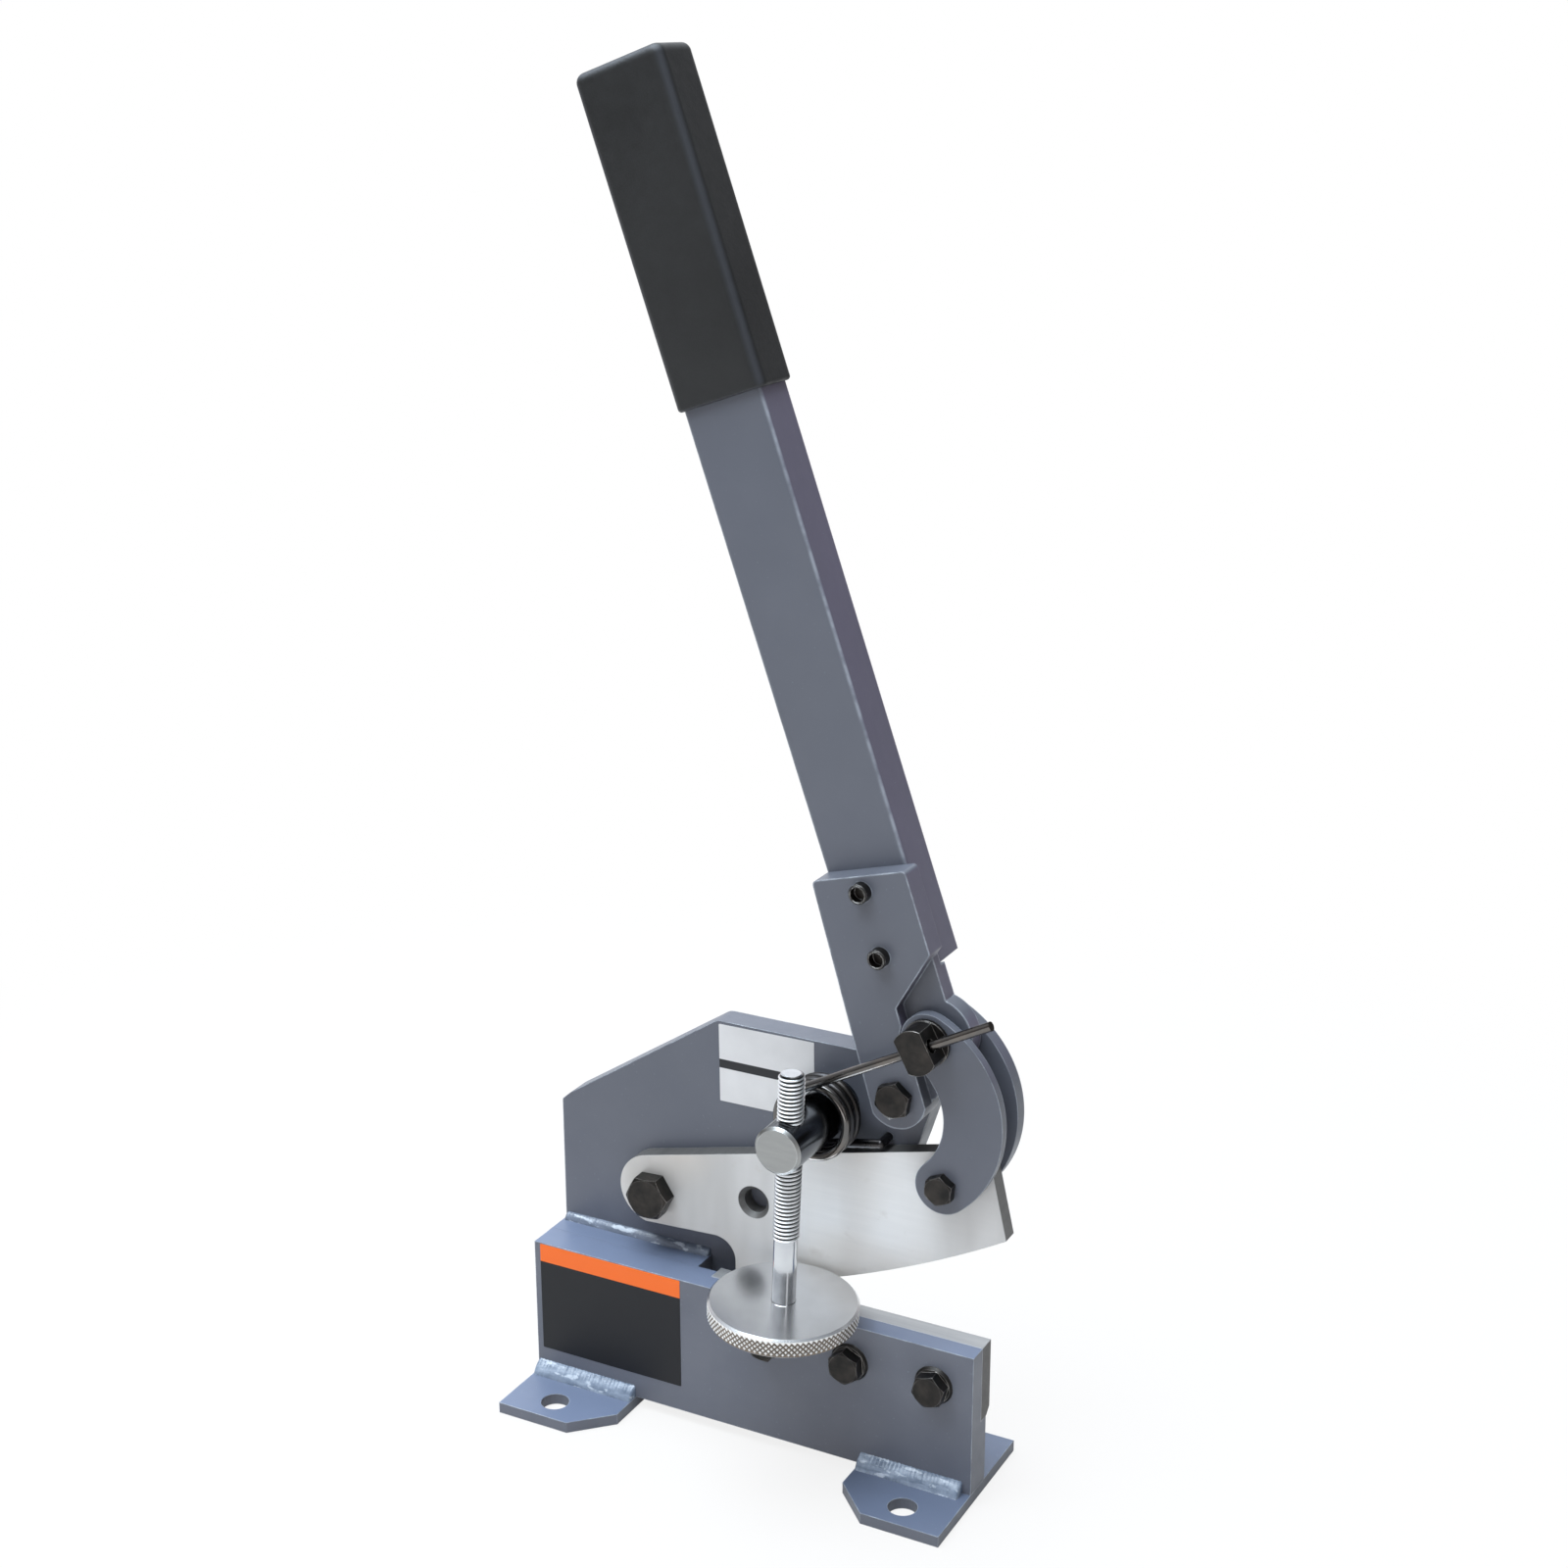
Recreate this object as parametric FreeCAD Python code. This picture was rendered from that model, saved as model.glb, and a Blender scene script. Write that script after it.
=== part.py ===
import FreeCAD, Part
import math
import os

# Hand lever shear, bench mounted, in millimetres.
# +X runs right along the blades, +Y to the back, +Z up; the origin is on the floor,
# at the centre of the four mounting holes. Pairs named *_AT are measured right from the
# left end of the base plate and up from its top; pairs in the lever's own frame are
# measured across from the lever pivot and along the handle.

V = FreeCAD.Vector

# Clearances and fits
SLIDE_GAP = 0.3           # between plates that slide past one another
PIN_FIT = 0.05            # radial play of a pin in its bearing hole
BOLT_FIT = 0.3            # radial play of a bolt in a plain hole
TOUCH = 1e-6              # points closer than this are the same

# Base plate on edge, with the step that the lower blade sits in
BASE_LENGTH = 212.0
BASE_THICK = 14.0
BASE_HEIGHT = 64.0
LEDGE_LENGTH = 85.0       # left part of the top that the lower blade leaves free
SPACER_LENGTH = 75.5      # stops short of the swing of the moving blade's heel

# Feet, one under each end of the base plate
FOOT_LENGTH = 51.0
FOOT_DEPTH = 78.0
FOOT_THICK = 5.0
FOOT_CORNER = 16.0
MOUNT_HOLE_R = 6.2
MOUNT_HOLE_INSET = 21.5   # from the end of the foot
MOUNT_HOLE_Y = 27.0

# Lower blade
LOWER_BLADE_THICK = 8.5
LOWER_BLADE_HEIGHT = 34.0
BLADE_STEP = 5.0          # how deep it sits in the back of the base plate
LOWER_BLADE_CHAMFER = 3.0
LOWER_BOLT_DROP = 17.0    # below the top of the base plate
LOWER_BOLT_PLACES = (0.138, 0.441, 0.744)   # from the right end, as a part of the blade's length
LOWER_BOLT_R = 4.0
LOWER_BOLT_SHORT = 1.75   # the bolt and its blind hole end before the back of the blade
COLLAR_FRONT_R = 7.6
COLLAR_BACK_R = 8.6
COLLAR_HEIGHT = 1.4

# Moving blade: outline points
BLADE_THICK = 8.0
BLADE_PIVOT_AT = (51.6, 28.3)
BLADE_END_TOP_AT = (48.0, 45.2)
BLADE_END_MID_AT = (34.6, 30.6)
BLADE_END_LOW_AT = (47.1, 13.3)
BLADE_NECK_AT = (82.0, 15.0)
BLADE_CORNER_AT = (89.1, 12.1)
BLADE_HEEL_AT = (92.0, 5.0)
BLADE_TIP_AT = (92.0, -5.0)
BLADE_EDGE_MID_AT = (150.0, 13.4)
BLADE_EDGE_END_AT = (217.3, 45.9)
BLADE_RIGHT_AT = (210.6, 75.0)
BLADE_TOP_AT = (202.0, 82.6)
PIVOT_BOLT_R = 6.0
BLADE_HOLE_AT = (101.1, 35.3)
BLADE_HOLE_R = 5.5
BLADE_HOLE_SINK = 2.0

# Body plate behind the blades: outline points
BODY_THICK = 12.0
BODY_RIGHT = 94.0         # foot of the column, from the left end
BODY_ARM_LOW_AT = (94.0, 17.0)
BODY_ARM_END_AT = (166.0, 53.0)
BODY_NOSE_LOW_AT = (174.5, 77.0)
BODY_NOSE_AT = (183.5, 105.5)
BODY_TOP_RIGHT_AT = (177.5, 112.0)
BODY_TOP_LEFT_AT = (79.5, 112.0)
BODY_SHOULDER_AT = (4.5, 62.5)
BODY_LEFT_AT = (0.0, 58.5)
BODY_SMALL_R = 3.0
BODY_LARGE_R = 6.0

# Lever pivot, and the two ends of the links
LEVER_PIVOT_AT = (170.3, 101.7)
LEVER_LEAN = 19.35        # degrees left of upright
LEVER_BOLT_R = 4.5
LINK_TOP = (22.51, 21.56)           # in the lever's frame
LINK_BOTTOM_AT = (191.8, 67.3)
FRONT_LINK_THICK = 4.2
REAR_LINK_THICK = 6.5
LINK_STANDOFF = 3.0       # from the front link's back to the plane of the bracket's web
LINK_WASHER_R = 10.5
LINK_END_R = 11.8
LINK_OUTER_BULGE = 29.3
LINK_INNER_BULGE = 3.7
LINK_BOLT_R = 3.5
LINK_OPEN_PLAY = 5.1      # the bottom pivot is the one left open: its hole in the blade is wide
LINK_PIN_R = 5.0
LINK_NOTCH_GAP = 0.7      # between the link's round top and the notch in the strap

# Link pin: shoulder, flatted head and keeper
PIN_SHOULDER_R = 10.0
PIN_SHOULDER = 1.8
PIN_HEAD_R = 9.5
PIN_HEAD = 10.7
PIN_HEAD_FLATS = 12.6
PIN_TAIL = 6.0
KEEPER_THICK = 3.0

# Lever bracket in the lever's frame: a strap in front, and behind it a web in the
# plane of the blade that also seats the foot of the tube
STRAP_THICK = 6.3
STRAP_END_R = 13.4
STRAP_TOP_LEFT = (-7.3, 94.4)
STRAP_TOP_RIGHT = (34.9, 91.1)
STRAP_LOW_RIGHT = (34.6, 56.0)
STRAP_STEP = (12.7, 36.9)
STRAP_RIGHT = (11.8, -15.0)
STRAP_LEFT = (-13.0, -16.0)
WEB_TOP_RIGHT = (31.9, 80.0)
WEB_LOW_RIGHT = (31.9, 12.0)
WEB_LOW_RIGHT_R = 12.0
WEB_ROUND_R = 16.3        # round of the web about the link pin
WEB_HUB_R = 9.0           # raised hub behind the front link
WEB_CORNER = (14.2, -4.6)
WEB_LOW = (5.0, -20.0)
WEB_LOW_LEFT = (-10.0, -18.0)
WEB_TOP_LEFT = (-7.5, 80.0)
STRAP_CORNER_R = 2.0
PLATE_FRONT_OF_TUBE = 11.3   # bracket thickness in front of the tube

# Handle tube, across and through the lever's plane
TUBE_WIDTH = 36.5
TUBE_DEPTH = 22.0
TUBE_WALL = 2.5
TUBE_CORNER = 2.0
TUBE_SIDE = 6.55          # from the pivot to the left side of the tube
TUBE_START = 48.9         # from the pivot up to the foot of the tube
TUBE_END = 414.8          # from the pivot up to the top of the tube

# Rubber grip
GRIP_WALL = 2.4
GRIP_START = 286.0
GRIP_CAP = 5.5
GRIP_EDGE = 4.0
GRIP_LIP = 1.5

# Set screws through the bracket into the tube
SET_SCREW_R = 4.1
SET_SCREW_OUT = 4.5
SET_SCREW_SOCKET_R = 3.1
SET_SCREW_SOCKET = 4.0
SET_SCREW_EDGE = 0.5
SET_SCREW_IN = 1.0        # past the wall of the tube
UPPER_SET_SCREW = (13.6, 86.3)
LOWER_SET_SCREW = (12.9, 58.9)

# Hold-down pin, screw and disc
HOLD_DOWN_AT = (136.4, 86.8)
HOLD_LEAN = 2.3           # degrees that the screw leans right
HOLD_PIN_R = 10.4
HOLD_PIN_OUT = 27.2       # from the base plate's front face forward
HOLD_PIN_EDGE = 1.2
HOLD_PIN_TAIL_R = 7.0
HOLD_PIN_TAIL = 3.0
HOLD_SCREW_OUT = 16.0     # from the base plate's front face forward
HOLD_SCREW_R = 5.5
HOLD_SCREW_EDGE = 1.2
HOLD_SHANK_R = 5.0
HOLD_SHANK_IN = 2.0       # how far the shank reaches up into the threaded part
HOLD_SCREW_TOP = 117.1    # above the base plate
HOLD_THREAD_END = 43.2    # above the base plate
DISC_R = 31.5
DISC_THICK = 8.4
DISC_GAP = 5.9            # under the disc
DISC_EDGE = 0.8

# Return spring on the hold-down pin
SPRING_WIRE_R = 1.95
SPRING_R = 15.1
SPRING_PITCH = 4.7
SPRING_HELD_HALF_TURNS = 5
SPRING_LEG = 21.7
SPRING_LEG_TURN = 17.3    # degrees by which the first half turn after the leg is short
SPRING_HOOK = 5.0
SPRING_ARM_IN = 1.5       # from the base plate's front face back
SPRING_ARM_PAST = 35.0
SPRING_ARM_PLAY = 1.0

# Hexagon heads: across flats, height, turn in degrees
HEX_LOWER_BOLT = (13.0, 5.5, 15)
HEX_LOWER_BOLT_TURN = 20
HEX_LEVER = (14.0, 4.2, 20)
HEX_PIVOT = (18.0, 7.5, 3)
HEX_LINK = (11.5, 4.6, 25)
NUT_HEIGHT = 0.55         # of the width across flats
NUT_TURN = 10
BOLT_TAIL = 2.0           # thread past the nut
HEX_RIM = 0.48            # radius of the round chamfer on the face, of the width across flats
HEX_CHAMFER_SLOPE = 1.7

# Welds
WELD_LEG = 6.0
LEDGE_WELD_LEG = 3.0
WELD_INSET = 0.5
WELD_BELLY = 0.62

# Planes across the machine, from front to back
base_front = -BASE_THICK / 2
base_back = BASE_THICK / 2
step_wall = base_back - BLADE_STEP
lower_blade_back = step_wall + LOWER_BLADE_THICK
blade_front = lower_blade_back + SLIDE_GAP
blade_back = blade_front + BLADE_THICK
body_front = blade_back + SLIDE_GAP
body_back = body_front + BODY_THICK
web_front = blade_front - SLIDE_GAP
strap_front = web_front - STRAP_THICK
front_link_back = web_front - LINK_STANDOFF
link_front = front_link_back - FRONT_LINK_THICK
rear_link_front = blade_back + SLIDE_GAP
rear_link_back = rear_link_front + REAR_LINK_THICK
tube_front = strap_front + PLATE_FRONT_OF_TUBE

# Levels and ends
base_top = FOOT_THICK + BASE_HEIGHT
left_end = -BASE_LENGTH / 2
right_end = BASE_LENGTH / 2
ledge_end = left_end + LEDGE_LENGTH
lower_blade_low = base_top - LOWER_BLADE_HEIGHT

os.makedirs("parts", exist_ok=True)


def place(pair):
    """(x, z) of a point given from the base plate's top left corner."""
    return (left_end + pair[0], base_top + pair[1])


blade_pivot = place(BLADE_PIVOT_AT)
lever_pivot = place(LEVER_PIVOT_AT)
link_bottom = place(LINK_BOTTOM_AT)
hold_down = place(HOLD_DOWN_AT)
hold_screw_y = base_front - HOLD_SCREW_OUT


def lever(pair):
    """(x, z) of a point given in the lever's own frame."""
    lean = math.radians(LEVER_LEAN)
    return (lever_pivot[0] + pair[0] * math.cos(lean) - pair[1] * math.sin(lean),
            lever_pivot[1] + pair[0] * math.sin(lean) + pair[1] * math.cos(lean))


link_top = lever(LINK_TOP)


def save(name, shape):
    """Write one solid as parts/NAME.step."""
    shape = shape.removeSplitter()
    if len(shape.Solids) != 1 or not shape.isValid():
        raise RuntimeError(name + ": expected one valid solid")
    shape.Solids[0].exportStep("parts/" + name + ".step")


def outline(corners):
    """Closed X-Z outline from ((x, z), corner radius) pairs, rounded where asked."""
    starts, ends, mids = [], [], []
    for i, (point, radius) in enumerate(corners):
        following = corners[(i + 1) % len(corners)][0]
        here = V(point[0], 0, point[1])
        into = (V(corners[i - 1][0][0], 0, corners[i - 1][0][1]) - here).normalize()
        out = (V(following[0], 0, following[1]) - here).normalize()
        if radius <= 0:
            starts.append(here)
            ends.append(here)
            mids.append(None)
            continue
        half = into.getAngle(out) / 2
        reach = radius / math.tan(half)
        starts.append(here + into * reach)
        ends.append(here + out * reach)
        mids.append(here + (into + out).normalize() * (radius / math.sin(half) - radius))
    edges = []
    for i, mid in enumerate(mids):
        if mid is not None:
            edges.append(Part.Arc(starts[i], mid, ends[i]).toShape())
        following = starts[(i + 1) % len(corners)]
        if (following - ends[i]).Length > TOUCH:
            edges.append(Part.makeLine(ends[i], following))
    return Part.Wire(edges)


def plate(wire, front, back):
    """Plate with an X-Z outline between two planes."""
    face = Part.Face(wire)
    face.translate(V(0, front, 0))
    return face.extrude(V(0, back - front, 0))


def rod(at, front, back, radius):
    """Round bar along Y at (x, z)."""
    return Part.makeCylinder(radius, back - front, V(at[0], front, at[1]), V(0, 1, 0))


def post(x, y, low, high, radius):
    """Round bar along Z."""
    return Part.makeCylinder(radius, high - low, V(x, y, low), V(0, 0, 1))


def leaned(shape):
    """Upright piece of the hold-down turned with its screw about the pin."""
    return shape.rotate(V(hold_down[0], 0, hold_down[1]), V(0, 1, 0), HOLD_LEAN)


def hexagon(at, front, back, across, turn):
    """Hexagon bar along Y with its front corners chamfered round."""
    radius = across / math.sqrt(3)
    points = [V(at[0] + radius * math.cos(math.radians(turn + 60 * i)), front,
                at[1] + radius * math.sin(math.radians(turn + 60 * i))) for i in range(7)]
    bar = Part.Face(Part.makePolygon(points)).extrude(V(0, back - front, 0))
    length = back - front
    rim = across * HEX_RIM
    cone = Part.makeCone(rim, rim + length * HEX_CHAMFER_SLOPE, length, V(at[0], front, at[1]),
                         V(0, 1, 0))
    return bar.common(cone)


def bolt(at, seat, tail, head, radius):
    """Hexagon bolt whose head sits in front of the seat plane."""
    across, height, turn = head
    return hexagon(at, seat - height, seat, across, turn).fuse(rod(at, seat, tail, radius))


def nut_height(head):
    return head[0] * NUT_HEIGHT


def hex_nut(at, front, head, radius):
    """Hexagon nut behind a front plane, its back corners chamfered round."""
    back = front + nut_height(head)
    nut = hexagon(at, front, back, head[0], NUT_TURN)
    nut = nut.mirror(V(at[0], (front + back) / 2, at[1]), V(0, 1, 0))
    return nut.cut(rod(at, front, back, radius))


def lever_bar(left, right, start, end, front, back, corner):
    """Bar along the handle with rounded long edges."""
    bar = Part.makeBox(right - left, back - front, end - start, V(left, front, start))
    if corner > 0:
        long_edges = [e for e in bar.Edges if abs(e.tangentAt(e.FirstParameter).z) > 0.9]
        bar = bar.makeFillet(corner, long_edges)
    bar.rotate(V(0, 0, 0), V(0, 1, 0), -LEVER_LEAN)
    bar.translate(V(lever_pivot[0], 0, lever_pivot[1]))
    return bar


def edges_in_plane(shape, point, normal, kind):
    """Edges of one kind that lie in the plane through the point."""
    return [e for e in shape.Edges if e.Curve.TypeId.endswith(kind)
            and abs((e.CenterOfMass - point).dot(normal)) < TOUCH
            and abs((e.Vertexes[0].Point - point).dot(normal)) < TOUCH]


# Base plate: the back of its top right part is stepped for the lower blade
base = Part.makeBox(BASE_LENGTH, BASE_THICK, BASE_HEIGHT, V(left_end, base_front, FOOT_THICK))
base = base.cut(Part.makeBox(BASE_LENGTH - LEDGE_LENGTH, BLADE_STEP, LOWER_BLADE_HEIGHT,
                             V(ledge_end, step_wall, lower_blade_low)))
lower_bolts = [(right_end - part * (BASE_LENGTH - LEDGE_LENGTH), base_top - LOWER_BOLT_DROP)
               for part in LOWER_BOLT_PLACES]
for at in lower_bolts:
    base = base.cut(rod(at, base_front, base_back, LOWER_BOLT_R + BOLT_FIT))
save("base_plate", base)

# Spacer block between base plate and body plate, under the ledge
save("spacer_block", Part.makeBox(SPACER_LENGTH, body_front - base_back, BASE_HEIGHT,
                                  V(left_end, base_back, FOOT_THICK)))

# Return spring's geometry, which the body plate's small hole and the link pin share
wire_reach = math.hypot(link_top[0] - hold_down[0], link_top[1] - hold_down[1])
wire_turn = (math.degrees(math.atan2(link_top[1] - hold_down[1], link_top[0] - hold_down[0]))
             - math.degrees(math.asin(SPRING_R / wire_reach)))
wire_along = V(math.cos(math.radians(wire_turn)), 0, math.sin(math.radians(wire_turn)))
arm_y = base_front + SPRING_ARM_IN
split_y = arm_y + SPRING_PITCH
leg_y = split_y + SPRING_PITCH / 2 * SPRING_HELD_HALF_TURNS


def on_coil(angle, y):
    """Point on the coil's centre line."""
    return V(hold_down[0] + SPRING_R * math.cos(math.radians(angle)), y,
             hold_down[1] + SPRING_R * math.sin(math.radians(angle)))


def half_turn(angle, y):
    """Spoke, centre and heading at the start of a half turn that comes pitch / 2 forward."""
    begin, end = on_coil(angle, y), on_coil(angle - 180, y - SPRING_PITCH / 2)
    middle = (begin + end) * 0.5
    return (begin - middle, middle,
            V(math.sin(math.radians(angle)), 0, -math.cos(math.radians(angle))))


arm_angle = 90 + wire_turn
spoke, centre, heading = half_turn(arm_angle + 180, leg_y)
turned = math.radians(SPRING_LEG_TURN)
leg_start = centre + spoke * math.cos(turned) + heading * (spoke.Length * math.sin(turned))
leg_along = spoke * (math.sin(turned) / spoke.Length) - heading * math.cos(turned)
leg_end = leg_start + leg_along * SPRING_LEG

# Body plate: a column on the left foot and an arm that carries the lever pivot
body = plate(outline((
    ((left_end, FOOT_THICK), 0),
    ((left_end + BODY_RIGHT, FOOT_THICK), 0),
    (place(BODY_ARM_LOW_AT), BODY_LARGE_R),
    (place(BODY_ARM_END_AT), BODY_LARGE_R),
    (place(BODY_NOSE_LOW_AT), 0),
    (place(BODY_NOSE_AT), BODY_SMALL_R),
    (place(BODY_TOP_RIGHT_AT), BODY_SMALL_R),
    (place(BODY_TOP_LEFT_AT), BODY_LARGE_R),
    (place(BODY_SHOULDER_AT), BODY_SMALL_R),
    (place(BODY_LEFT_AT), BODY_SMALL_R / 2),
)), body_front, body_back)
body = body.cut(rod(blade_pivot, body_front, body_back, PIVOT_BOLT_R + PIN_FIT))
body = body.cut(rod(lever_pivot, body_front, body_back, LEVER_BOLT_R + PIN_FIT))
body = body.cut(rod(hold_down, body_front, body_back, HOLD_PIN_TAIL_R + PIN_FIT))
body = body.cut(rod((leg_end.x, leg_end.z), body_front, body_front + SPRING_HOOK,
                    SPRING_WIRE_R + PIN_FIT))
save("body_plate", body)

# Feet: the inner corners are cut off
for side, name in ((-1, "left_foot"), (1, "right_foot")):
    outer = side * BASE_LENGTH / 2
    inner = outer - side * FOOT_LENGTH
    half = FOOT_DEPTH / 2
    corners = [V(outer, -half, 0), V(inner + side * FOOT_CORNER, -half, 0),
               V(inner, -half + FOOT_CORNER, 0), V(inner, half - FOOT_CORNER, 0),
               V(inner + side * FOOT_CORNER, half, 0), V(outer, half, 0)]
    foot = Part.Face(Part.makePolygon(corners + corners[:1])).extrude(V(0, 0, FOOT_THICK))
    for y in (-MOUNT_HOLE_Y, MOUNT_HOLE_Y):
        foot = foot.cut(post(outer - side * MOUNT_HOLE_INSET, y, 0, FOOT_THICK, MOUNT_HOLE_R))
    save(name, foot)


def weld(corner, length, leg):
    """Convex fillet weld along X, forward and up from the corner."""
    toe_y = corner - V(0, leg, 0)
    toe_z = corner + V(0, 0, leg)
    belly = corner + V(0, -leg * WELD_BELLY, leg * WELD_BELLY)
    edges = [Part.makeLine(corner, toe_y), Part.Arc(toe_y, belly, toe_z).toShape(),
             Part.makeLine(toe_z, corner)]
    return Part.Face(Part.Wire(edges)).extrude(V(length, 0, 0))


foot_weld_length = FOOT_LENGTH - 2 * WELD_INSET
save("left_foot_weld",
     weld(V(left_end + WELD_INSET, base_front, FOOT_THICK), foot_weld_length, WELD_LEG))
save("right_foot_weld",
     weld(V(right_end - WELD_INSET - foot_weld_length, base_front, FOOT_THICK), foot_weld_length,
          WELD_LEG))
save("ledge_weld",
     weld(V(left_end + WELD_INSET, body_front, base_top), SPACER_LENGTH - 2 * WELD_INSET,
          LEDGE_WELD_LEG))

# Lower blade with its three bolts from the front
blade_bar = Part.makeBox(right_end - ledge_end, LOWER_BLADE_THICK, LOWER_BLADE_HEIGHT,
                         V(ledge_end, step_wall, lower_blade_low))
low_edges = [e for e in edges_in_plane(blade_bar, V(0, 0, lower_blade_low), V(0, 0, 1), "Line")
             if abs(e.CenterOfMass.y - lower_blade_back) < TOUCH]
blade_bar = blade_bar.makeChamfer(LOWER_BLADE_CHAMFER, low_edges)
for number, at in enumerate(lower_bolts):
    blade_bar = blade_bar.cut(rod(at, step_wall, lower_blade_back - LOWER_BOLT_SHORT,
                                  LOWER_BOLT_R + BOLT_FIT))
    seat = base_front - COLLAR_HEIGHT
    head = (HEX_LOWER_BOLT[0], HEX_LOWER_BOLT[1], HEX_LOWER_BOLT[2] + HEX_LOWER_BOLT_TURN * number)
    piece = bolt(at, seat, lower_blade_back - LOWER_BOLT_SHORT - BOLT_FIT, head, LOWER_BOLT_R)
    collar = Part.makeCone(COLLAR_FRONT_R, COLLAR_BACK_R, COLLAR_HEIGHT, V(at[0], seat, at[1]),
                           V(0, 1, 0))
    save("lower_blade_bolt_" + str(number + 1), piece.fuse(collar))
save("lower_blade", blade_bar)


def spot(pair):
    """Placed point as a vector in the plane y = 0."""
    x, z = place(pair)
    return V(x, 0, z)


# Moving blade: round pivot end, inner corner over the ledge, curved cutting edge
moving = plate(Part.Wire([
    Part.Arc(spot(BLADE_END_TOP_AT), spot(BLADE_END_MID_AT), spot(BLADE_END_LOW_AT)).toShape(),
    Part.makeLine(spot(BLADE_END_LOW_AT), spot(BLADE_NECK_AT)),
    Part.Arc(spot(BLADE_NECK_AT), spot(BLADE_CORNER_AT), spot(BLADE_HEEL_AT)).toShape(),
    Part.makeLine(spot(BLADE_HEEL_AT), spot(BLADE_TIP_AT)),
    Part.Arc(spot(BLADE_TIP_AT), spot(BLADE_EDGE_MID_AT), spot(BLADE_EDGE_END_AT)).toShape(),
    Part.makeLine(spot(BLADE_EDGE_END_AT), spot(BLADE_RIGHT_AT)),
    Part.makeLine(spot(BLADE_RIGHT_AT), spot(BLADE_TOP_AT)),
    Part.makeLine(spot(BLADE_TOP_AT), spot(BLADE_END_TOP_AT)),
]), blade_front, blade_back)
moving = moving.cut(rod(blade_pivot, blade_front, blade_back, PIVOT_BOLT_R + PIN_FIT))
moving = moving.cut(rod(link_bottom, blade_front, blade_back, LINK_BOLT_R + LINK_OPEN_PLAY))
blade_hole = place(BLADE_HOLE_AT)
moving = moving.cut(rod(blade_hole, blade_front, blade_back, BLADE_HOLE_R))
moving = moving.cut(Part.makeCone(BLADE_HOLE_R + BLADE_HOLE_SINK, BLADE_HOLE_R, BLADE_HOLE_SINK,
                                  V(blade_hole[0], blade_front, blade_hole[1]), V(0, 1, 0)))
save("moving_blade", moving)

# Blade pivot bolt and its nut behind the body plate
save("blade_pivot_bolt", bolt(blade_pivot, blade_front - SLIDE_GAP,
                              body_back + nut_height(HEX_PIVOT) + BOLT_TAIL, HEX_PIVOT, PIVOT_BOLT_R))
save("blade_pivot_nut", hex_nut(blade_pivot, body_back, HEX_PIVOT, PIVOT_BOLT_R))


def link(front, back):
    """C-shaped link: outer and inner arcs tangent to round ends at both pivots."""
    top = V(link_top[0], 0, link_top[1])
    bottom = V(link_bottom[0], 0, link_bottom[1])
    middle = (top + bottom) * 0.5
    down = (bottom - top).normalize()
    outward = V(-down.z, 0, down.x)
    half = (bottom - top).Length / 2
    rise_out = LINK_OUTER_BULGE - LINK_END_R
    rise_in = LINK_INNER_BULGE + LINK_END_R
    centre_out = middle - outward * ((half ** 2 - rise_out ** 2) / (2 * rise_out))
    centre_in = middle - outward * ((half ** 2 - rise_in ** 2) / (2 * rise_in))

    def touch(centre, end, way):
        return end + (end - centre).normalize() * (LINK_END_R * way)

    out_top, out_bottom = touch(centre_out, top, 1), touch(centre_out, bottom, 1)
    in_top, in_bottom = touch(centre_in, top, -1), touch(centre_in, bottom, -1)
    shape = plate(Part.Wire([
        Part.Arc(out_top, middle + outward * LINK_OUTER_BULGE, out_bottom).toShape(),
        Part.Arc(out_bottom, bottom + down * LINK_END_R, in_bottom).toShape(),
        Part.Arc(in_bottom, middle + outward * LINK_INNER_BULGE, in_top).toShape(),
        Part.Arc(in_top, top - down * LINK_END_R, out_top).toShape(),
    ]), front, back)
    shape = shape.cut(rod(link_top, front, back, LINK_PIN_R + PIN_FIT))
    return shape.cut(rod(link_bottom, front, back, LINK_BOLT_R))


save("front_link", link(link_front, front_link_back))
save("rear_link", link(rear_link_front, rear_link_back))

# Bolt and nut that join the links to the moving blade
save("link_bottom_bolt", bolt(link_bottom, link_front,
                              rear_link_back + nut_height(HEX_LINK) + BOLT_TAIL, HEX_LINK,
                              LINK_BOLT_R))
washer = rod(link_bottom, front_link_back, web_front, LINK_WASHER_R)
save("link_washer", washer.cut(rod(link_bottom, front_link_back, web_front, LINK_BOLT_R)))
save("link_bottom_nut", hex_nut(link_bottom, rear_link_back, HEX_LINK, LINK_BOLT_R))

# Lever bracket: both plates end round below the pivot, and the strap is notched for the link
strap = plate(outline((
    (lever(STRAP_TOP_LEFT), STRAP_CORNER_R),
    (lever(STRAP_TOP_RIGHT), STRAP_CORNER_R),
    (lever(STRAP_LOW_RIGHT), STRAP_CORNER_R / 2),
    (lever(STRAP_STEP), STRAP_CORNER_R),
    (lever(STRAP_RIGHT), 0),
    (lever(STRAP_LEFT), 0),
)), strap_front, blade_back)
web = plate(outline((
    (lever(WEB_TOP_LEFT), 0),
    (lever(WEB_TOP_RIGHT), 0),
    (lever(WEB_LOW_RIGHT), WEB_LOW_RIGHT_R),
    (lever(WEB_CORNER), 0),
    (lever(WEB_LOW), 0),
    (lever(WEB_LOW_LEFT), 0),
)), web_front, blade_back)
upper = lever_bar(-TUBE_END, TUBE_END, 0, TUBE_END, strap_front, blade_back, 0)
strap = strap.common(upper.fuse(rod(lever_pivot, strap_front, blade_back, STRAP_END_R)))
web = web.fuse(rod(link_top, web_front, blade_back, WEB_ROUND_R))
web_upper = lever_bar(-TUBE_END, TUBE_END, WEB_CORNER[1], TUBE_END, strap_front, blade_back, 0)
web = web.common(web_upper.fuse(rod(lever_pivot, strap_front, blade_back, STRAP_END_R)))
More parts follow.
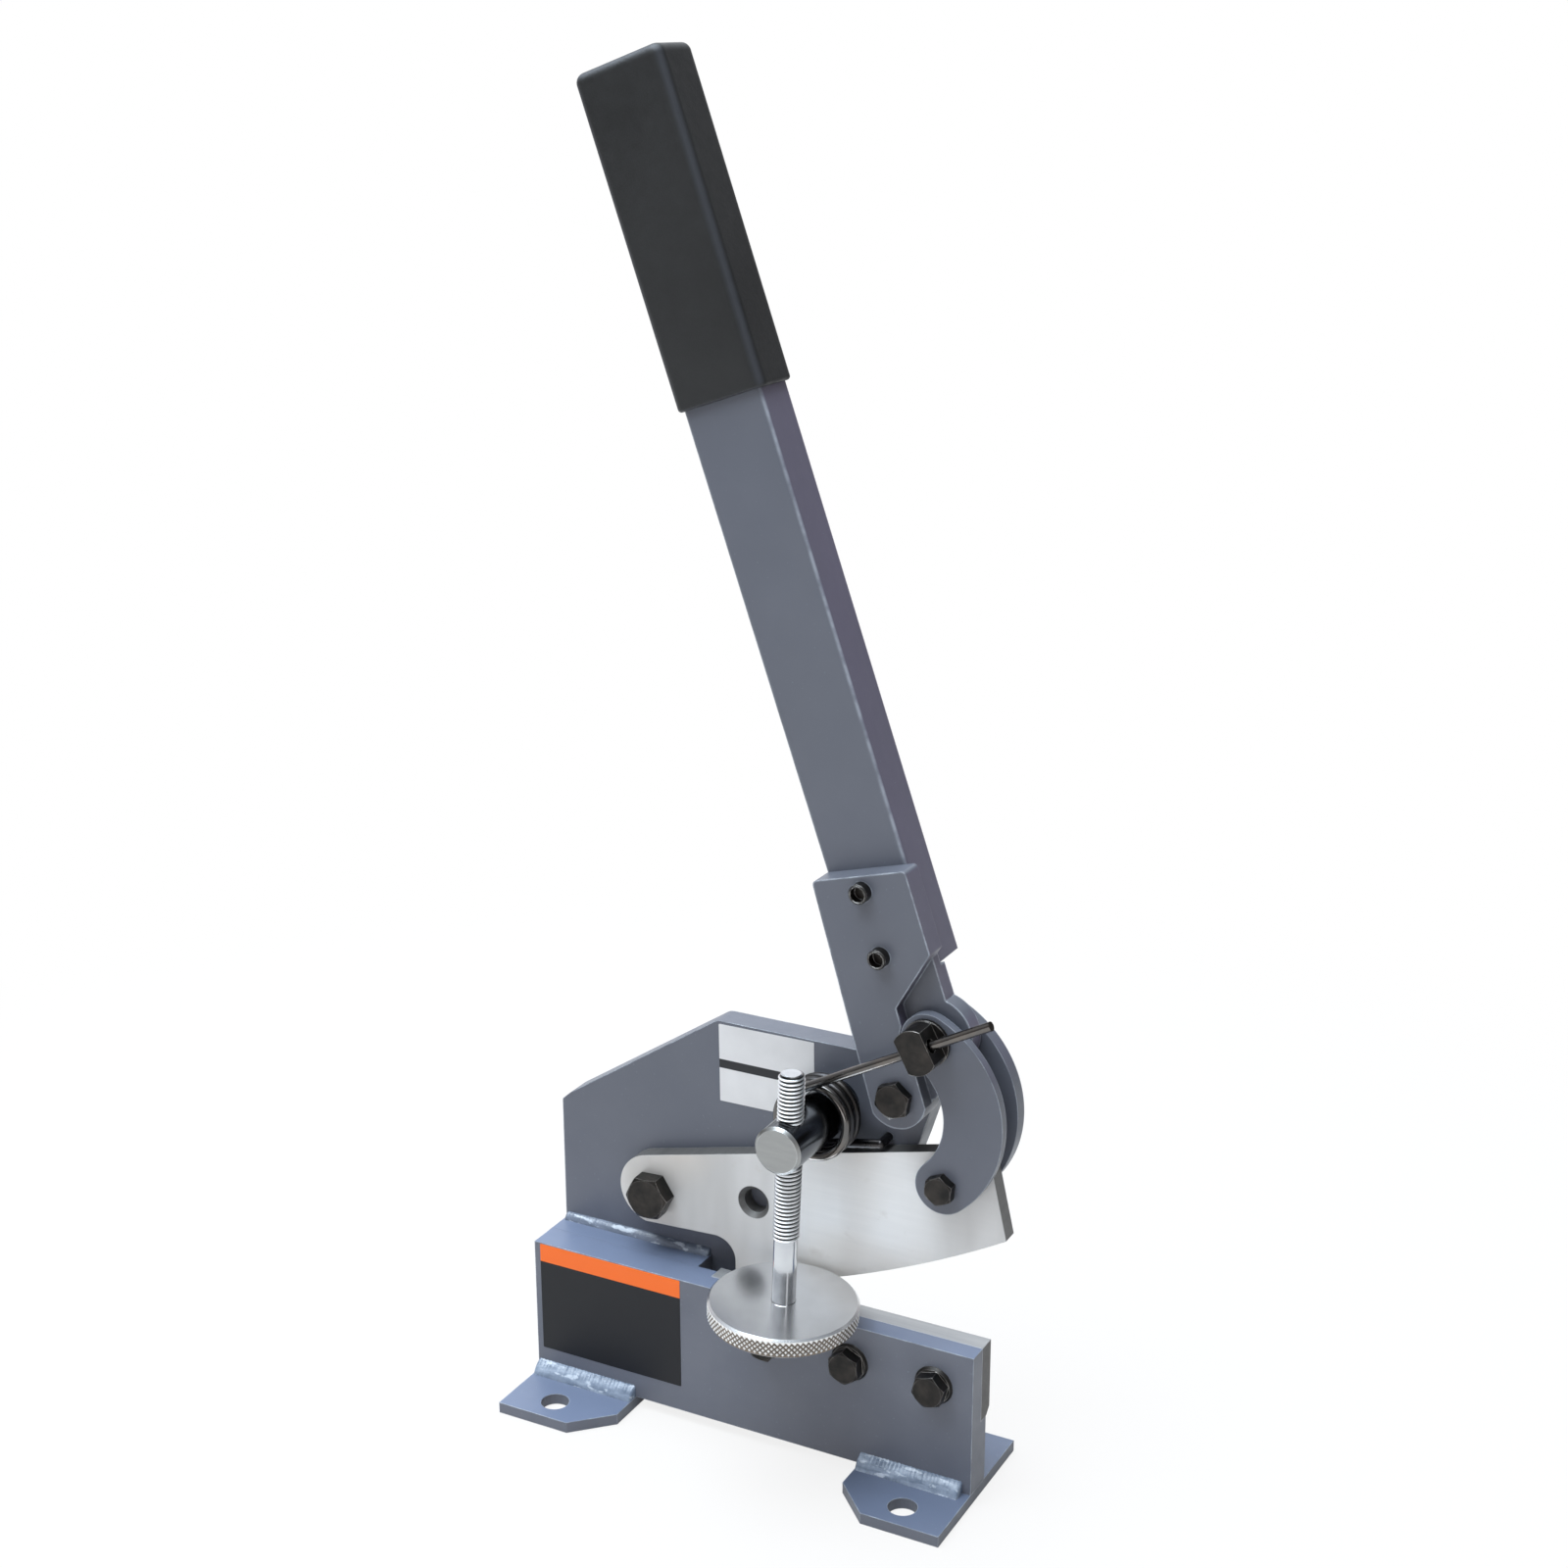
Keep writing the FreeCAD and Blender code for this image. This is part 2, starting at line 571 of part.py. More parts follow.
strap = strap.cut(rod(link_top, strap_front, web_front, LINK_END_R + LINK_NOTCH_GAP))
bracket = strap.fuse(web)
bracket = bracket.fuse(rod(link_top, front_link_back + SLIDE_GAP, web_front, WEB_HUB_R))
bracket = bracket.cut(lever_bar(-TUBE_END, TUBE_END, TUBE_START, TUBE_END, tube_front,
                                tube_front + TUBE_DEPTH, 0))
bracket = bracket.cut(rod(lever_pivot, strap_front, blade_back, LEVER_BOLT_R + PIN_FIT))
bracket = bracket.cut(rod(link_top, strap_front, blade_back, LINK_PIN_R + PIN_FIT))

# Handle tube
tube_left, tube_right = -TUBE_SIDE, TUBE_WIDTH - TUBE_SIDE
tube_back = tube_front + TUBE_DEPTH
tube = lever_bar(tube_left, tube_right, TUBE_START, TUBE_END, tube_front, tube_back, TUBE_CORNER)
tube = tube.cut(lever_bar(tube_left + TUBE_WALL, tube_right - TUBE_WALL, TUBE_START, TUBE_END,
                          tube_front + TUBE_WALL, tube_back - TUBE_WALL, TUBE_CORNER - TUBE_WALL))

# Set screws with hexagon sockets
screw_front = strap_front - SET_SCREW_OUT
screw_back = tube_front + TUBE_WALL + SET_SCREW_IN
for name, pair in (("upper_set_screw", UPPER_SET_SCREW), ("lower_set_screw", LOWER_SET_SCREW)):
    at = lever(pair)
    bracket = bracket.cut(rod(at, strap_front, tube_front, SET_SCREW_R))
    tube = tube.cut(rod(at, tube_front, tube_front + TUBE_WALL, SET_SCREW_R))
    screw = rod(at, screw_front, screw_back, SET_SCREW_R)
    screw = screw.makeChamfer(SET_SCREW_EDGE, edges_in_plane(screw, V(0, screw_front, 0),
                                                             V(0, 1, 0), "Circle"))
    save(name, screw.cut(rod(at, screw_front, screw_front + SET_SCREW_SOCKET, SET_SCREW_SOCKET_R)))
save("lever_bracket", bracket)
save("handle_tube", tube)

# Grip: a sleeve with a closed, rounded top
grip = lever_bar(tube_left - GRIP_WALL, tube_right + GRIP_WALL, GRIP_START, TUBE_END + GRIP_CAP,
                 tube_front - GRIP_WALL, tube_back + GRIP_WALL, TUBE_CORNER + GRIP_WALL)
top_face = max((f for f in grip.Faces if f.Surface.TypeId.endswith("Plane")),
               key=lambda f: f.CenterOfMass.z)
grip = grip.makeFillet(GRIP_EDGE, top_face.Edges)
low_face = min((f for f in grip.Faces if f.Surface.TypeId.endswith("Plane")),
               key=lambda f: f.CenterOfMass.z)
grip = grip.makeFillet(GRIP_LIP, low_face.Edges)
save("handle_grip", grip.cut(lever_bar(tube_left, tube_right, GRIP_START, TUBE_END, tube_front,
                                       tube_back, TUBE_CORNER)))

# Lever pivot bolt and nut
save("lever_pivot_bolt", bolt(lever_pivot, strap_front - SLIDE_GAP,
                              body_back + nut_height(HEX_LEVER) + BOLT_TAIL, HEX_LEVER,
                              LEVER_BOLT_R))
save("lever_pivot_nut", hex_nut(lever_pivot, body_back, HEX_LEVER, LEVER_BOLT_R))

# Link pin: shoulder and flatted head in front, with a cross hole for the spring's arm
shoulder_back = link_front - SLIDE_GAP
shoulder_front = shoulder_back - PIN_SHOULDER
head_front = shoulder_front - PIN_HEAD
flats = Part.makeBox(PIN_HEAD_FLATS, PIN_HEAD, 2 * PIN_HEAD_R,
                     V(-PIN_HEAD_FLATS / 2, head_front, -PIN_HEAD_R))
flats.rotate(V(0, 0, 0), V(0, 1, 0), -wire_turn)
flats.translate(V(link_top[0], 0, link_top[1]))
pin = rod(link_top, head_front, shoulder_front, PIN_HEAD_R).common(flats)
pin = pin.fuse(rod(link_top, shoulder_front, shoulder_back, PIN_SHOULDER_R))
pin = pin.fuse(rod(link_top, shoulder_back, rear_link_back + PIN_TAIL, LINK_PIN_R))
cross_start = V(link_top[0], arm_y, link_top[1]) - wire_along * (2 * PIN_SHOULDER_R)
pin = pin.cut(Part.makeCylinder(SPRING_WIRE_R + SPRING_ARM_PLAY, 4 * PIN_SHOULDER_R, cross_start,
                                wire_along))
save("link_top_pin", pin)
keeper_front = rear_link_back + SLIDE_GAP
keeper = rod(link_top, keeper_front, keeper_front + KEEPER_THICK, PIN_SHOULDER_R)
save("link_top_keeper", keeper.cut(rod(link_top, keeper_front, keeper_front + KEEPER_THICK,
                                       LINK_PIN_R)))

# Hold-down pin: turned bar with a reduced tail through the body plate
pin_face = base_front - HOLD_PIN_OUT
pin = rod(hold_down, pin_face, body_front, HOLD_PIN_R)
pin = pin.makeChamfer(HOLD_PIN_EDGE, edges_in_plane(pin, V(0, pin_face, 0), V(0, 1, 0), "Circle"))
pin = pin.fuse(rod(hold_down, body_front, body_back + HOLD_PIN_TAIL, HOLD_PIN_TAIL_R))
save("hold_down_pin", pin.cut(leaned(post(hold_down[0], hold_screw_y, hold_down[1] - 2 * HOLD_PIN_R,
                                          hold_down[1] + 2 * HOLD_PIN_R, HOLD_SCREW_R + PIN_FIT))))

# Hold-down screw and its disc
disc_low = base_top + DISC_GAP
disc_high = disc_low + DISC_THICK
thread_end = base_top + HOLD_THREAD_END
screw = post(hold_down[0], hold_screw_y, thread_end, base_top + HOLD_SCREW_TOP, HOLD_SCREW_R)
screw = screw.makeChamfer(HOLD_SCREW_EDGE, [e for e in screw.Edges
                                            if e.Curve.TypeId.endswith("Circle")])
save("hold_down_screw", leaned(screw.fuse(post(hold_down[0], hold_screw_y, disc_low,
                                               thread_end + HOLD_SHANK_IN, HOLD_SHANK_R))))
disc = post(hold_down[0], hold_screw_y, disc_low, disc_high, DISC_R)
disc = disc.makeChamfer(DISC_EDGE, [e for e in disc.Edges if e.Curve.TypeId.endswith("Circle")])
save("hold_down_disc", leaned(disc.cut(post(hold_down[0], hold_screw_y, disc_low, disc_high,
                                            HOLD_SHANK_R))))


def coil(start_angle, half_turns, start_y, skipped=0.0, cut_short=0.0):
    """Half turns of wire, clockwise seen from the front, each one pitch / 2 further forward."""
    wound = None
    for i in range(half_turns):
        spoke, centre, heading = half_turn(start_angle - 180 * i, start_y - SPRING_PITCH / 2 * i)
        axis = spoke.cross(heading)
        section = Part.Face(Part.Wire(Part.makeCircle(SPRING_WIRE_R, centre + spoke, heading)))
        sweep = 180
        if i == 0 and skipped > 0:
            section.rotate(centre, axis, skipped)
            sweep -= skipped
        if i == half_turns - 1:
            sweep -= cut_short
        piece = section.revolve(centre, axis, sweep)
        wound = piece if wound is None else wound.fuse(piece)
    return wound


# Return spring: the arm and the front turn swing with the lever, the rest is held by its leg
arm_length = math.sqrt(wire_reach ** 2 - SPRING_R ** 2) + SPRING_ARM_PAST
arm = Part.makeCylinder(SPRING_WIRE_R, arm_length, on_coil(arm_angle, arm_y), wire_along)
save("spring_arm", arm.fuse(coil(arm_angle, 2, split_y)))
held = coil(arm_angle + 180, SPRING_HELD_HALF_TURNS, leg_y, SPRING_LEG_TURN,
            math.degrees(SLIDE_GAP / SPRING_R))
held = held.fuse(Part.makeCylinder(SPRING_WIRE_R, SPRING_LEG, leg_start, leg_along))
held = held.fuse(Part.makeSphere(SPRING_WIRE_R, leg_end))
hook = body_front + SPRING_HOOK - leg_end.y
save("spring_coil", held.fuse(Part.makeCylinder(SPRING_WIRE_R, hook, leg_end, V(0, 1, 0))))
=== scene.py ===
import math
import random

import bmesh
import bpy
from mathutils import Matrix, Vector


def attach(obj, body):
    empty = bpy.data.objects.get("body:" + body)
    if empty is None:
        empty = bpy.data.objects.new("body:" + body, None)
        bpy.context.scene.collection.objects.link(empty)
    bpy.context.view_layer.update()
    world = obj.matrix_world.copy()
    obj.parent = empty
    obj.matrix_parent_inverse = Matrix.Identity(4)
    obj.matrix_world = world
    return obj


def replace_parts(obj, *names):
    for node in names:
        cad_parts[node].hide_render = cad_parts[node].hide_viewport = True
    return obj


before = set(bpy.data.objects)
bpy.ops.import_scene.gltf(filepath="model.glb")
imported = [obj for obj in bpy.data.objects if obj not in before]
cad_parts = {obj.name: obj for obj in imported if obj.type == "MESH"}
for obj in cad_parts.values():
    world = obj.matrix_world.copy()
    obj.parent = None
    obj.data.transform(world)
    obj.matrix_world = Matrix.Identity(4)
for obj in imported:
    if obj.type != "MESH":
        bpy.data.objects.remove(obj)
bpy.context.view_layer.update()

# A hand lever shear on a pale floor. Lengths are in metres.
MM = 0.001

# Camera, as the photograph was taken
CAMERA_PLACE = (0.4442, -0.8046, 0.5893)
CAMERA_AZIMUTH = 28.02
CAMERA_ELEVATION = 17.74
CAMERA_ROLL = -0.14
CAMERA_LENS = 55.71
# Side of the room that the upright faces mirror to the camera
BACKDROP_SIDE = (-0.447, 0.840, 0.305)

# Hold-down screw and disc
PIN_AXIS = (30.4 * MM, 155.8 * MM)      # x and z of the cross pin
PIN_FACE = -33.1 * MM                   # y of its bright end
SCREW_LEAN = 2.3                        # degrees
SCREW_Y = -23.0 * MM
SCREW_TOP = 186.1 * MM
THREAD_END = 112.2 * MM
THREAD_RADIUS = 5.5 * MM
THREAD_DEPTH = 0.8 * MM
THREAD_PITCH = 1.75 * MM
SHANK_RADIUS = 5.0 * MM
DISC_TOP = 83.3 * MM
DISC_THICK = 8.4 * MM
DISC_RADIUS = 31.5 * MM
KNURL_COLUMNS = 168
KNURL_ROWS = 6
KNURL_DEPTH = 0.6 * MM
TOP_CHAMFER = 0.9 * MM
TURNED_SIDES = 48

# Weld beads: y and z of their centre lines, radius, and length of one ripple
FOOT_WELD_AT = (-7.7 * MM, 5.7 * MM)
LEDGE_WELD_AT = (18.4 * MM, 69.6 * MM)
FOOT_BEAD_RADIUS = 6.67 * MM
LEDGE_BEAD_RADIUS = 3.22 * MM
BEAD_RIPPLE = 1.7 * MM
BEAD_FLATNESS = 0.58
BEAD_END_SIZE = 0.8                     # share of the radius at both ends
BEAD_SIDES = 24

# Blank plates: x and z of the centre, width and height, heights of the band, and y of their faces
PALE_PLATE_AT = (-2.8 * MM, 162.1 * MM)
PALE_PLATE_SIZE = (45.4 * MM, 35.4 * MM)
PALE_PLATE_TILT = 0.6                   # degrees
PALE_BAND = (159.6 * MM, 163.6 * MM)
DARK_PLATE_AT = (-67.4 * MM, 42.7 * MM)
DARK_PLATE_SIZE = (71.4 * MM, 51.6 * MM)
DARK_BAND = (60.1 * MM, 90.0 * MM)
BODY_FRONT = 19.1 * MM
BASE_FRONT = -7.0 * MM
FILM_THICK = 0.14 * MM
FILM_CORNER = 0.4 * MM

# Heights and places where finishes change
LOW_TOPS_END = 75 * MM                  # tops of the feet and the ledge lie below this; they get painted blue skylight
VIOLET_SIDE_LIGHT_START = 180 * MM            # +X-facing painted sides above this, mostly the lever's, get painted violet light
STRAP_SEAM_START = 232 * MM
BOLT_THREAD_START = 31.2 * MM


# Materials

def add_node(tree, kind, inputs=None, **settings):
    """One shader node, its settings and what goes into its sockets."""
    node = tree.nodes.new("ShaderNode" + kind)
    for name, value in settings.items():
        setattr(node, name, value)
    for socket, value in (inputs or {}).items():
        if isinstance(value, bpy.types.NodeSocket):
            tree.links.new(value, node.inputs[socket])
        else:
            node.inputs[socket].default_value = value
    return node


def new_finish(name, **values):
    """A material with its Principled shader, whose even values are set on the shader."""
    material = bpy.data.materials.new(name)
    material.use_nodes = True
    tree = material.node_tree
    shader = tree.nodes["Principled BSDF"]
    for socket, value in values.items():
        shader.inputs[socket.replace("_", " ")].default_value = value
    return material, tree, shader


def place_on(tree, stretch):
    """Object coordinates, stretched for a pattern."""
    coordinates = add_node(tree, "TexCoord")
    mapping = add_node(tree, "Mapping", {"Vector": coordinates.outputs["Object"]})
    mapping.inputs["Scale"].default_value = stretch
    return mapping.outputs["Vector"]


def speckle(tree, scale, detail=4.0, stretch=(1, 1, 1), rough=0.5):
    """Soft noise in 3-D; a stretch below one draws it out along that axis."""
    noise = add_node(tree, "TexNoise", {"Vector": place_on(tree, stretch), "Scale": scale,
                                        "Detail": detail, "Roughness": rough})
    return noise.outputs["Fac"]


def between(tree, value, low, high, to_low=0.0, to_high=1.0):
    """A value's stretch from low to high, spread from to_low to to_high and held there."""
    spread = add_node(tree, "MapRange", {"Value": value, "From Min": low, "From Max": high,
                                         "To Min": to_low, "To Max": to_high}, clamp=True)
    return spread.outputs["Result"]


def blend_colour(tree, amount, first, second):
    mix = add_node(tree, "Mix", data_type="RGBA")
    for socket, value in ((0, amount), (6, first), (7, second)):
        if isinstance(value, bpy.types.NodeSocket):
            tree.links.new(value, mix.inputs[socket])
        elif socket == 0:
            mix.inputs[socket].default_value = value
        else:
            mix.inputs[socket].default_value = (*value[:3], 1)
    return mix.outputs[2]


def calc(tree, operation, first, second=0.0):
    node = add_node(tree, "Math", {0: first, 1: second}, operation=operation)
    return node.outputs["Value"]


def edge_nearness(tree, radius):
    """How near an edge the surface is, from the turn of a rounded normal."""
    rounded = add_node(tree, "Bevel", {"Radius": radius}, samples=4)
    flat = add_node(tree, "NewGeometry")
    dot = add_node(tree, "VectorMath", {0: rounded.outputs["Normal"], 1: flat.outputs["Normal"]},
                   operation="DOT_PRODUCT")
    return between(tree, calc(tree, "SUBTRACT", 1.0, dot.outputs["Value"]), 0.02, 0.22)


def surface_bump(tree, shader, height, distance, strength=1.0, edge=0.5 * MM):
    """Bump on top of softly rounded edges, or on the shape as it is where edge is 0."""
    bump = add_node(tree, "Bump", {"Height": height, "Distance": distance, "Strength": strength})
    if edge > 0:
        rounded = add_node(tree, "Bevel", {"Radius": edge}, samples=4)
        tree.links.new(rounded.outputs["Normal"], bump.inputs["Normal"])
    tree.links.new(bump.outputs["Normal"], shader.inputs["Normal"])


def facing(tree, axis):
    """Part of the surface's own normal along one axis, at rest."""
    coordinates = add_node(tree, "TexCoord")
    parts = add_node(tree, "SeparateXYZ", {0: coordinates.outputs["Normal"]})
    return parts.outputs[axis]


def along(tree, axis):
    """The surface point's own coordinate along one axis, at rest."""
    coordinates = add_node(tree, "TexCoord")
    parts = add_node(tree, "SeparateXYZ", {0: coordinates.outputs["Object"]})
    return parts.outputs[axis]


def round_corner(tree):
    """One on the rounded corners between a front and a side, zero on the flats."""
    across = calc(tree, "ABSOLUTE", facing(tree, "Y"))
    return calc(tree, "MULTIPLY", between(tree, across, 0.20, 0.55),
                between(tree, across, 0.75, 0.97, 1.0, 0.0))


def round_the_screw(tree):
    """Distance from the leaning screw's axis, and height along it, of the surface point."""
    coordinates = add_node(tree, "TexCoord")
    away = add_node(tree, "VectorMath", {0: coordinates.outputs["Object"],
                                         1: (PIN_AXIS[0], SCREW_Y, PIN_AXIS[1])},
                    operation="SUBTRACT")
    upright = add_node(tree, "VectorRotate", {"Vector": away.outputs["Vector"],
                                              "Angle": -math.radians(SCREW_LEAN)},
                       rotation_type="Y_AXIS")
    parts = add_node(tree, "SeparateXYZ", {0: upright.outputs["Vector"]})
    flat = add_node(tree, "CombineXYZ", {0: parts.outputs["X"], 1: parts.outputs["Y"]})
    reach = add_node(tree, "VectorMath", {0: flat.outputs["Vector"]}, operation="LENGTH")
    return reach.outputs["Value"], calc(tree, "ADD", parts.outputs["Z"], PIN_AXIS[1])


def blue_grey_paint(name, edge_width=0.7 * MM, edge_front=None, seam_from=0.0,
                    painted_corner_highlight=False):
    """Satin machine paint: slight orange peel, cloudy tone, and rubbed edges that also carry a
    painted edge highlight.

    It is a little darker higher up as painted shade, bluer on the low tops as painted skylight, and
    more violet on the high sides as painted violet light.

    Edges behind edge_front and above seam_from, where paint fills a seam, get neither rubbed wear
    nor painted highlight.
    A painted corner highlight is a light line along the rounded corners of a tube.
    """
    material, tree, shader = new_finish(name, Metallic=0.0, Specular_IOR_Level=0.5)
    cloud = between(tree, speckle(tree, 38.0, 3.0), 0.35, 0.65)
    tone = blend_colour(tree, cloud, (0.119, 0.127, 0.157), (0.136, 0.143, 0.172))
    height = along(tree, "Z")
    # Painted shade: the paint darkens higher up, where less light falls.
    painted_upper_shade = between(tree, height, 50 * MM, 130 * MM, 0.0, 0.6)
    tone = blend_colour(tree, painted_upper_shade, tone, (0.096, 0.101, 0.122))
    # Painted light: a violet cast on the +X-facing sides high up.
    painted_violet_side_light = calc(tree, "MULTIPLY", between(tree, facing(tree, "X"), 0.7, 0.9, 0.0, 0.8),
                     between(tree, height, VIOLET_SIDE_LIGHT_START, VIOLET_SIDE_LIGHT_START + 20 * MM))
    tone = blend_colour(tree, painted_violet_side_light, tone, (0.142, 0.122, 0.174))
    # Painted light: a blue skylight cast on the low upward faces.
    painted_skylight_top = calc(tree, "MULTIPLY", between(tree, facing(tree, "Z"), 0.7, 0.9),
                   between(tree, height, LOW_TOPS_END, LOW_TOPS_END + 10 * MM, 1.0, 0.0))
    tone = blend_colour(tree, painted_skylight_top, tone, (0.133, 0.163, 0.240))
    grime = between(tree, speckle(tree, 11.0, 5.0), 0.40, 0.75, 0.0, 0.35)
    tone = blend_colour(tree, grime, tone, (0.093, 0.098, 0.113))
    dust = between(tree, speckle(tree, 900.0, 2.0), 0.70, 0.76, 0.0, 0.25)
    tone = blend_colour(tree, dust, tone, (0.30, 0.33, 0.38))
    uneven = between(tree, speckle(tree, 130.0, 4.0), 0.38, 0.58, 0.35, 1.0)
    # Rubbed wear and painted highlight: pale lines along the edges.
    edge_wear_and_highlight = calc(tree, "MULTIPLY", edge_nearness(tree, edge_width), uneven)
    if edge_front is not None:
        behind = between(tree, along(tree, "Y"), edge_front, edge_front + MM)
        seam = calc(tree, "MULTIPLY", behind, between(tree, height, seam_from, seam_from + MM))
        edge_wear_and_highlight = calc(tree, "MULTIPLY", edge_wear_and_highlight, calc(tree, "SUBTRACT", 1.0, seam))
    # Painted highlight along the tube's rounded corners.
    if painted_corner_highlight:
        corner = calc(tree, "MULTIPLY", round_corner(tree), calc(tree, "MULTIPLY", uneven, 0.42))
        edge_wear_and_highlight = calc(tree, "MAXIMUM", edge_wear_and_highlight, corner)
    tone = blend_colour(tree, edge_wear_and_highlight, tone, (0.60, 0.64, 0.70))
    tree.links.new(tone, shader.inputs["Base Color"])
    tree.links.new(between(tree, speckle(tree, 120.0, 3.0), 0.3, 0.7, 0.34, 0.46),
                   shader.inputs["Roughness"])
    surface_bump(tree, shader, speckle(tree, 1400.0, 2.0), 0.05 * MM, 0.35, 0.6 * MM)
    return material


def weld_paint(name, hollow, crest):
    """The same paint, thick and glossy over a weld bead, with pale strokes along it."""
    material, tree, shader = new_finish(name, Metallic=0.0, Roughness=0.26)
    strokes = between(tree, speckle(tree, 330.0, 6.0, (0.3, 1, 1)), 0.38, 0.64)
    tone = blend_colour(tree, strokes, hollow, crest)
    patch = between(tree, speckle(tree, 90.0, 3.0), 0.45, 0.68, 0.0, 0.5)
    tone = blend_colour(tree, patch, tone, hollow)
    spatter = between(tree, speckle(tree, 430.0, 4.0, (0.35, 1, 1)), 0.57, 0.66, 0.0, 0.6)
    tree.links.new(blend_colour(tree, spatter, tone, (0.66, 0.71, 0.78)),
                   shader.inputs["Base Color"])
    surface_bump(tree, shader, speckle(tree, 620.0, 5.0, (1, 0.3, 0.3)), 0.4 * MM, 0.7, 0)
    return material


def ground_blade_steel():
    """Ground and lightly oiled plate: bright flat sides with grinding lines, dark sawn edges."""
    material, tree, shader = new_finish("ground_blade_steel", Metallic=0.20)
    flat_side = between(tree, calc(tree, "ABSOLUTE", facing(tree, "Y")), 0.80, 0.92)
    lines = speckle(tree, 260.0, 6.0, (0.04, 1, 1.0), rough=0.7)
    cloud = between(tree, speckle(tree, 24.0, 3.0, (1.4, 1, 0.3)), 0.35, 0.68)
    bright = blend_colour(tree, cloud, (0.47, 0.455, 0.44), (0.66, 0.645, 0.63))
    # Painted light: a bright band across the blade's middle, standing in for a reflection.
    painted_light_patch = calc(tree, "MULTIPLY", between(tree, along(tree, "X"), 0.0, 35 * MM),
                    between(tree, along(tree, "X"), 50 * MM, 95 * MM, 0.85, 0.0))
    bright = blend_colour(tree, painted_light_patch, bright, (0.96, 0.955, 0.945))
    bright = blend_colour(tree, between(tree, lines, 0.35, 0.7, 0.0, 0.14), bright,
                          (0.50, 0.50, 0.50))
    warm = between(tree, speckle(tree, 14.0, 2.0), 0.42, 0.62, 0.0, 0.6)
    bright = blend_colour(tree, warm, bright, (0.62, 0.555, 0.485))
    stain = between(tree, speckle(tree, 95.0, 5.0), 0.64, 0.80, 0.0, 0.35)
    bright = blend_colour(tree, stain, bright, (0.44, 0.39, 0.34))
    edge_tone = blend_colour(tree, speckle(tree, 300.0, 4.0, (1, 0.1, 1)), (0.06, 0.058, 0.055),
                             (0.15, 0.142, 0.135))
    # Painted highlight: pale lines along the blade's edges.
    edge_tone = blend_colour(tree, edge_nearness(tree, 0.5 * MM), edge_tone, (0.7, 0.7, 0.7))
    tree.links.new(blend_colour(tree, flat_side, edge_tone, bright), shader.inputs["Base Color"])
    tree.links.new(between(tree, lines, 0.2, 0.8, 0.34, 0.50), shader.inputs["Roughness"])
    surface_bump(tree, shader, lines, 0.03 * MM, 0.5, 0.5 * MM)
    return material


def lower_blade_steel():
    """Bar ground on its sides and top, with dark sawn ends."""
    material, tree, shader = new_finish("ground_lower_blade", Metallic=0.6)
    sawn_end = between(tree, calc(tree, "ABSOLUTE", facing(tree, "X")), 0.80, 0.92)
    lines = speckle(tree, 300.0, 6.0, (0.05, 1, 1.0), rough=0.7)
    ground = blend_colour(tree, between(tree, lines, 0.3, 0.7), (0.32, 0.32, 0.325),
                          (0.44, 0.435, 0.43))
    dark = blend_colour(tree, speckle(tree, 300.0, 4.0), (0.042, 0.038, 0.034),
                        (0.088, 0.082, 0.076))
    tone = blend_colour(tree, sawn_end, ground, dark)
    # Painted highlight: pale lines along the bar's edges.
    tone = blend_colour(tree, edge_nearness(tree, 0.5 * MM), tone, (0.62, 0.62, 0.64))
    tree.links.new(tone, shader.inputs["Base Color"])
    tree.links.new(between(tree, lines, 0.2, 0.8, 0.34, 0.50), shader.inputs["Roughness"])
    surface_bump(tree, shader, lines, 0.03 * MM, 0.5, 0.4 * MM)
    return material


def black_oxide(name, thread_from=None, corner=(0.48, 0.45, 0.42)):
    """Black fasteners with a brownish bloom and brighter corners, rubbed and with a painted
    highlight.

    From thread_from back along Y the surface carries a rolled thread.
    """
    material, tree, shader = new_finish(name, Metallic=0.85)
    bloom = between(tree, speckle(tree, 160.0, 5.0), 0.35, 0.75)
    tone = blend_colour(tree, bloom, (0.020, 0.019, 0.018), (0.050, 0.043, 0.038))
    # Rubbed wear and painted highlight: brighter corners.
    corners = between(tree, speckle(tree, 300.0, 3.0), 0.35, 0.6, 0.3, 1.0)
    edge_wear_and_highlight = calc(tree, "MULTIPLY", edge_nearness(tree, 0.5 * MM), corners)
    tone = blend_colour(tree, edge_wear_and_highlight, tone, corner)
    tree.links.new(tone, shader.inputs["Base Color"])
    tree.links.new(between(tree, speckle(tree, 500.0, 4.0), 0.3, 0.7, 0.28, 0.46),
                   shader.inputs["Roughness"])
    grain = speckle(tree, 900.0, 4.0)
    if thread_from is None:
        surface_bump(tree, shader, grain, 0.08 * MM, 0.4, 0.5 * MM)
        return material
    reach = along(tree, "Y")
    ridge = calc(tree, "PINGPONG", reach, 0.6 * MM)
    threaded = between(tree, reach, thread_from, thread_from + 0.3 * MM)
    ridge = calc(tree, "MULTIPLY", calc(tree, "MULTIPLY", ridge, 1500.0), threaded)
    height = calc(tree, "ADD", ridge, calc(tree, "MULTIPLY", grain, 0.05))
    surface_bump(tree, shader, height, 0.6 * MM, 1.0, 0)
    return material


def spring_wire(name, dark, brown, roughness):
    """Oiled spring wire, brownish in places."""
    material, tree, shader = new_finish(name, Metallic=1.0)
    bloom = between(tree, speckle(tree, 70.0, 3.0), 0.40, 0.70)
    tree.links.new(blend_colour(tree, bloom, dark, brown), shader.inputs["Base Color"])
    tree.links.new(between(tree, speckle(tree, 300.0, 3.0), 0.3, 0.7, roughness, roughness + 0.08),
                   shader.inputs["Roughness"])
    surface_bump(tree, shader, speckle(tree, 900.0, 2.0), 0.01 * MM, 0.2, 0)
    return material


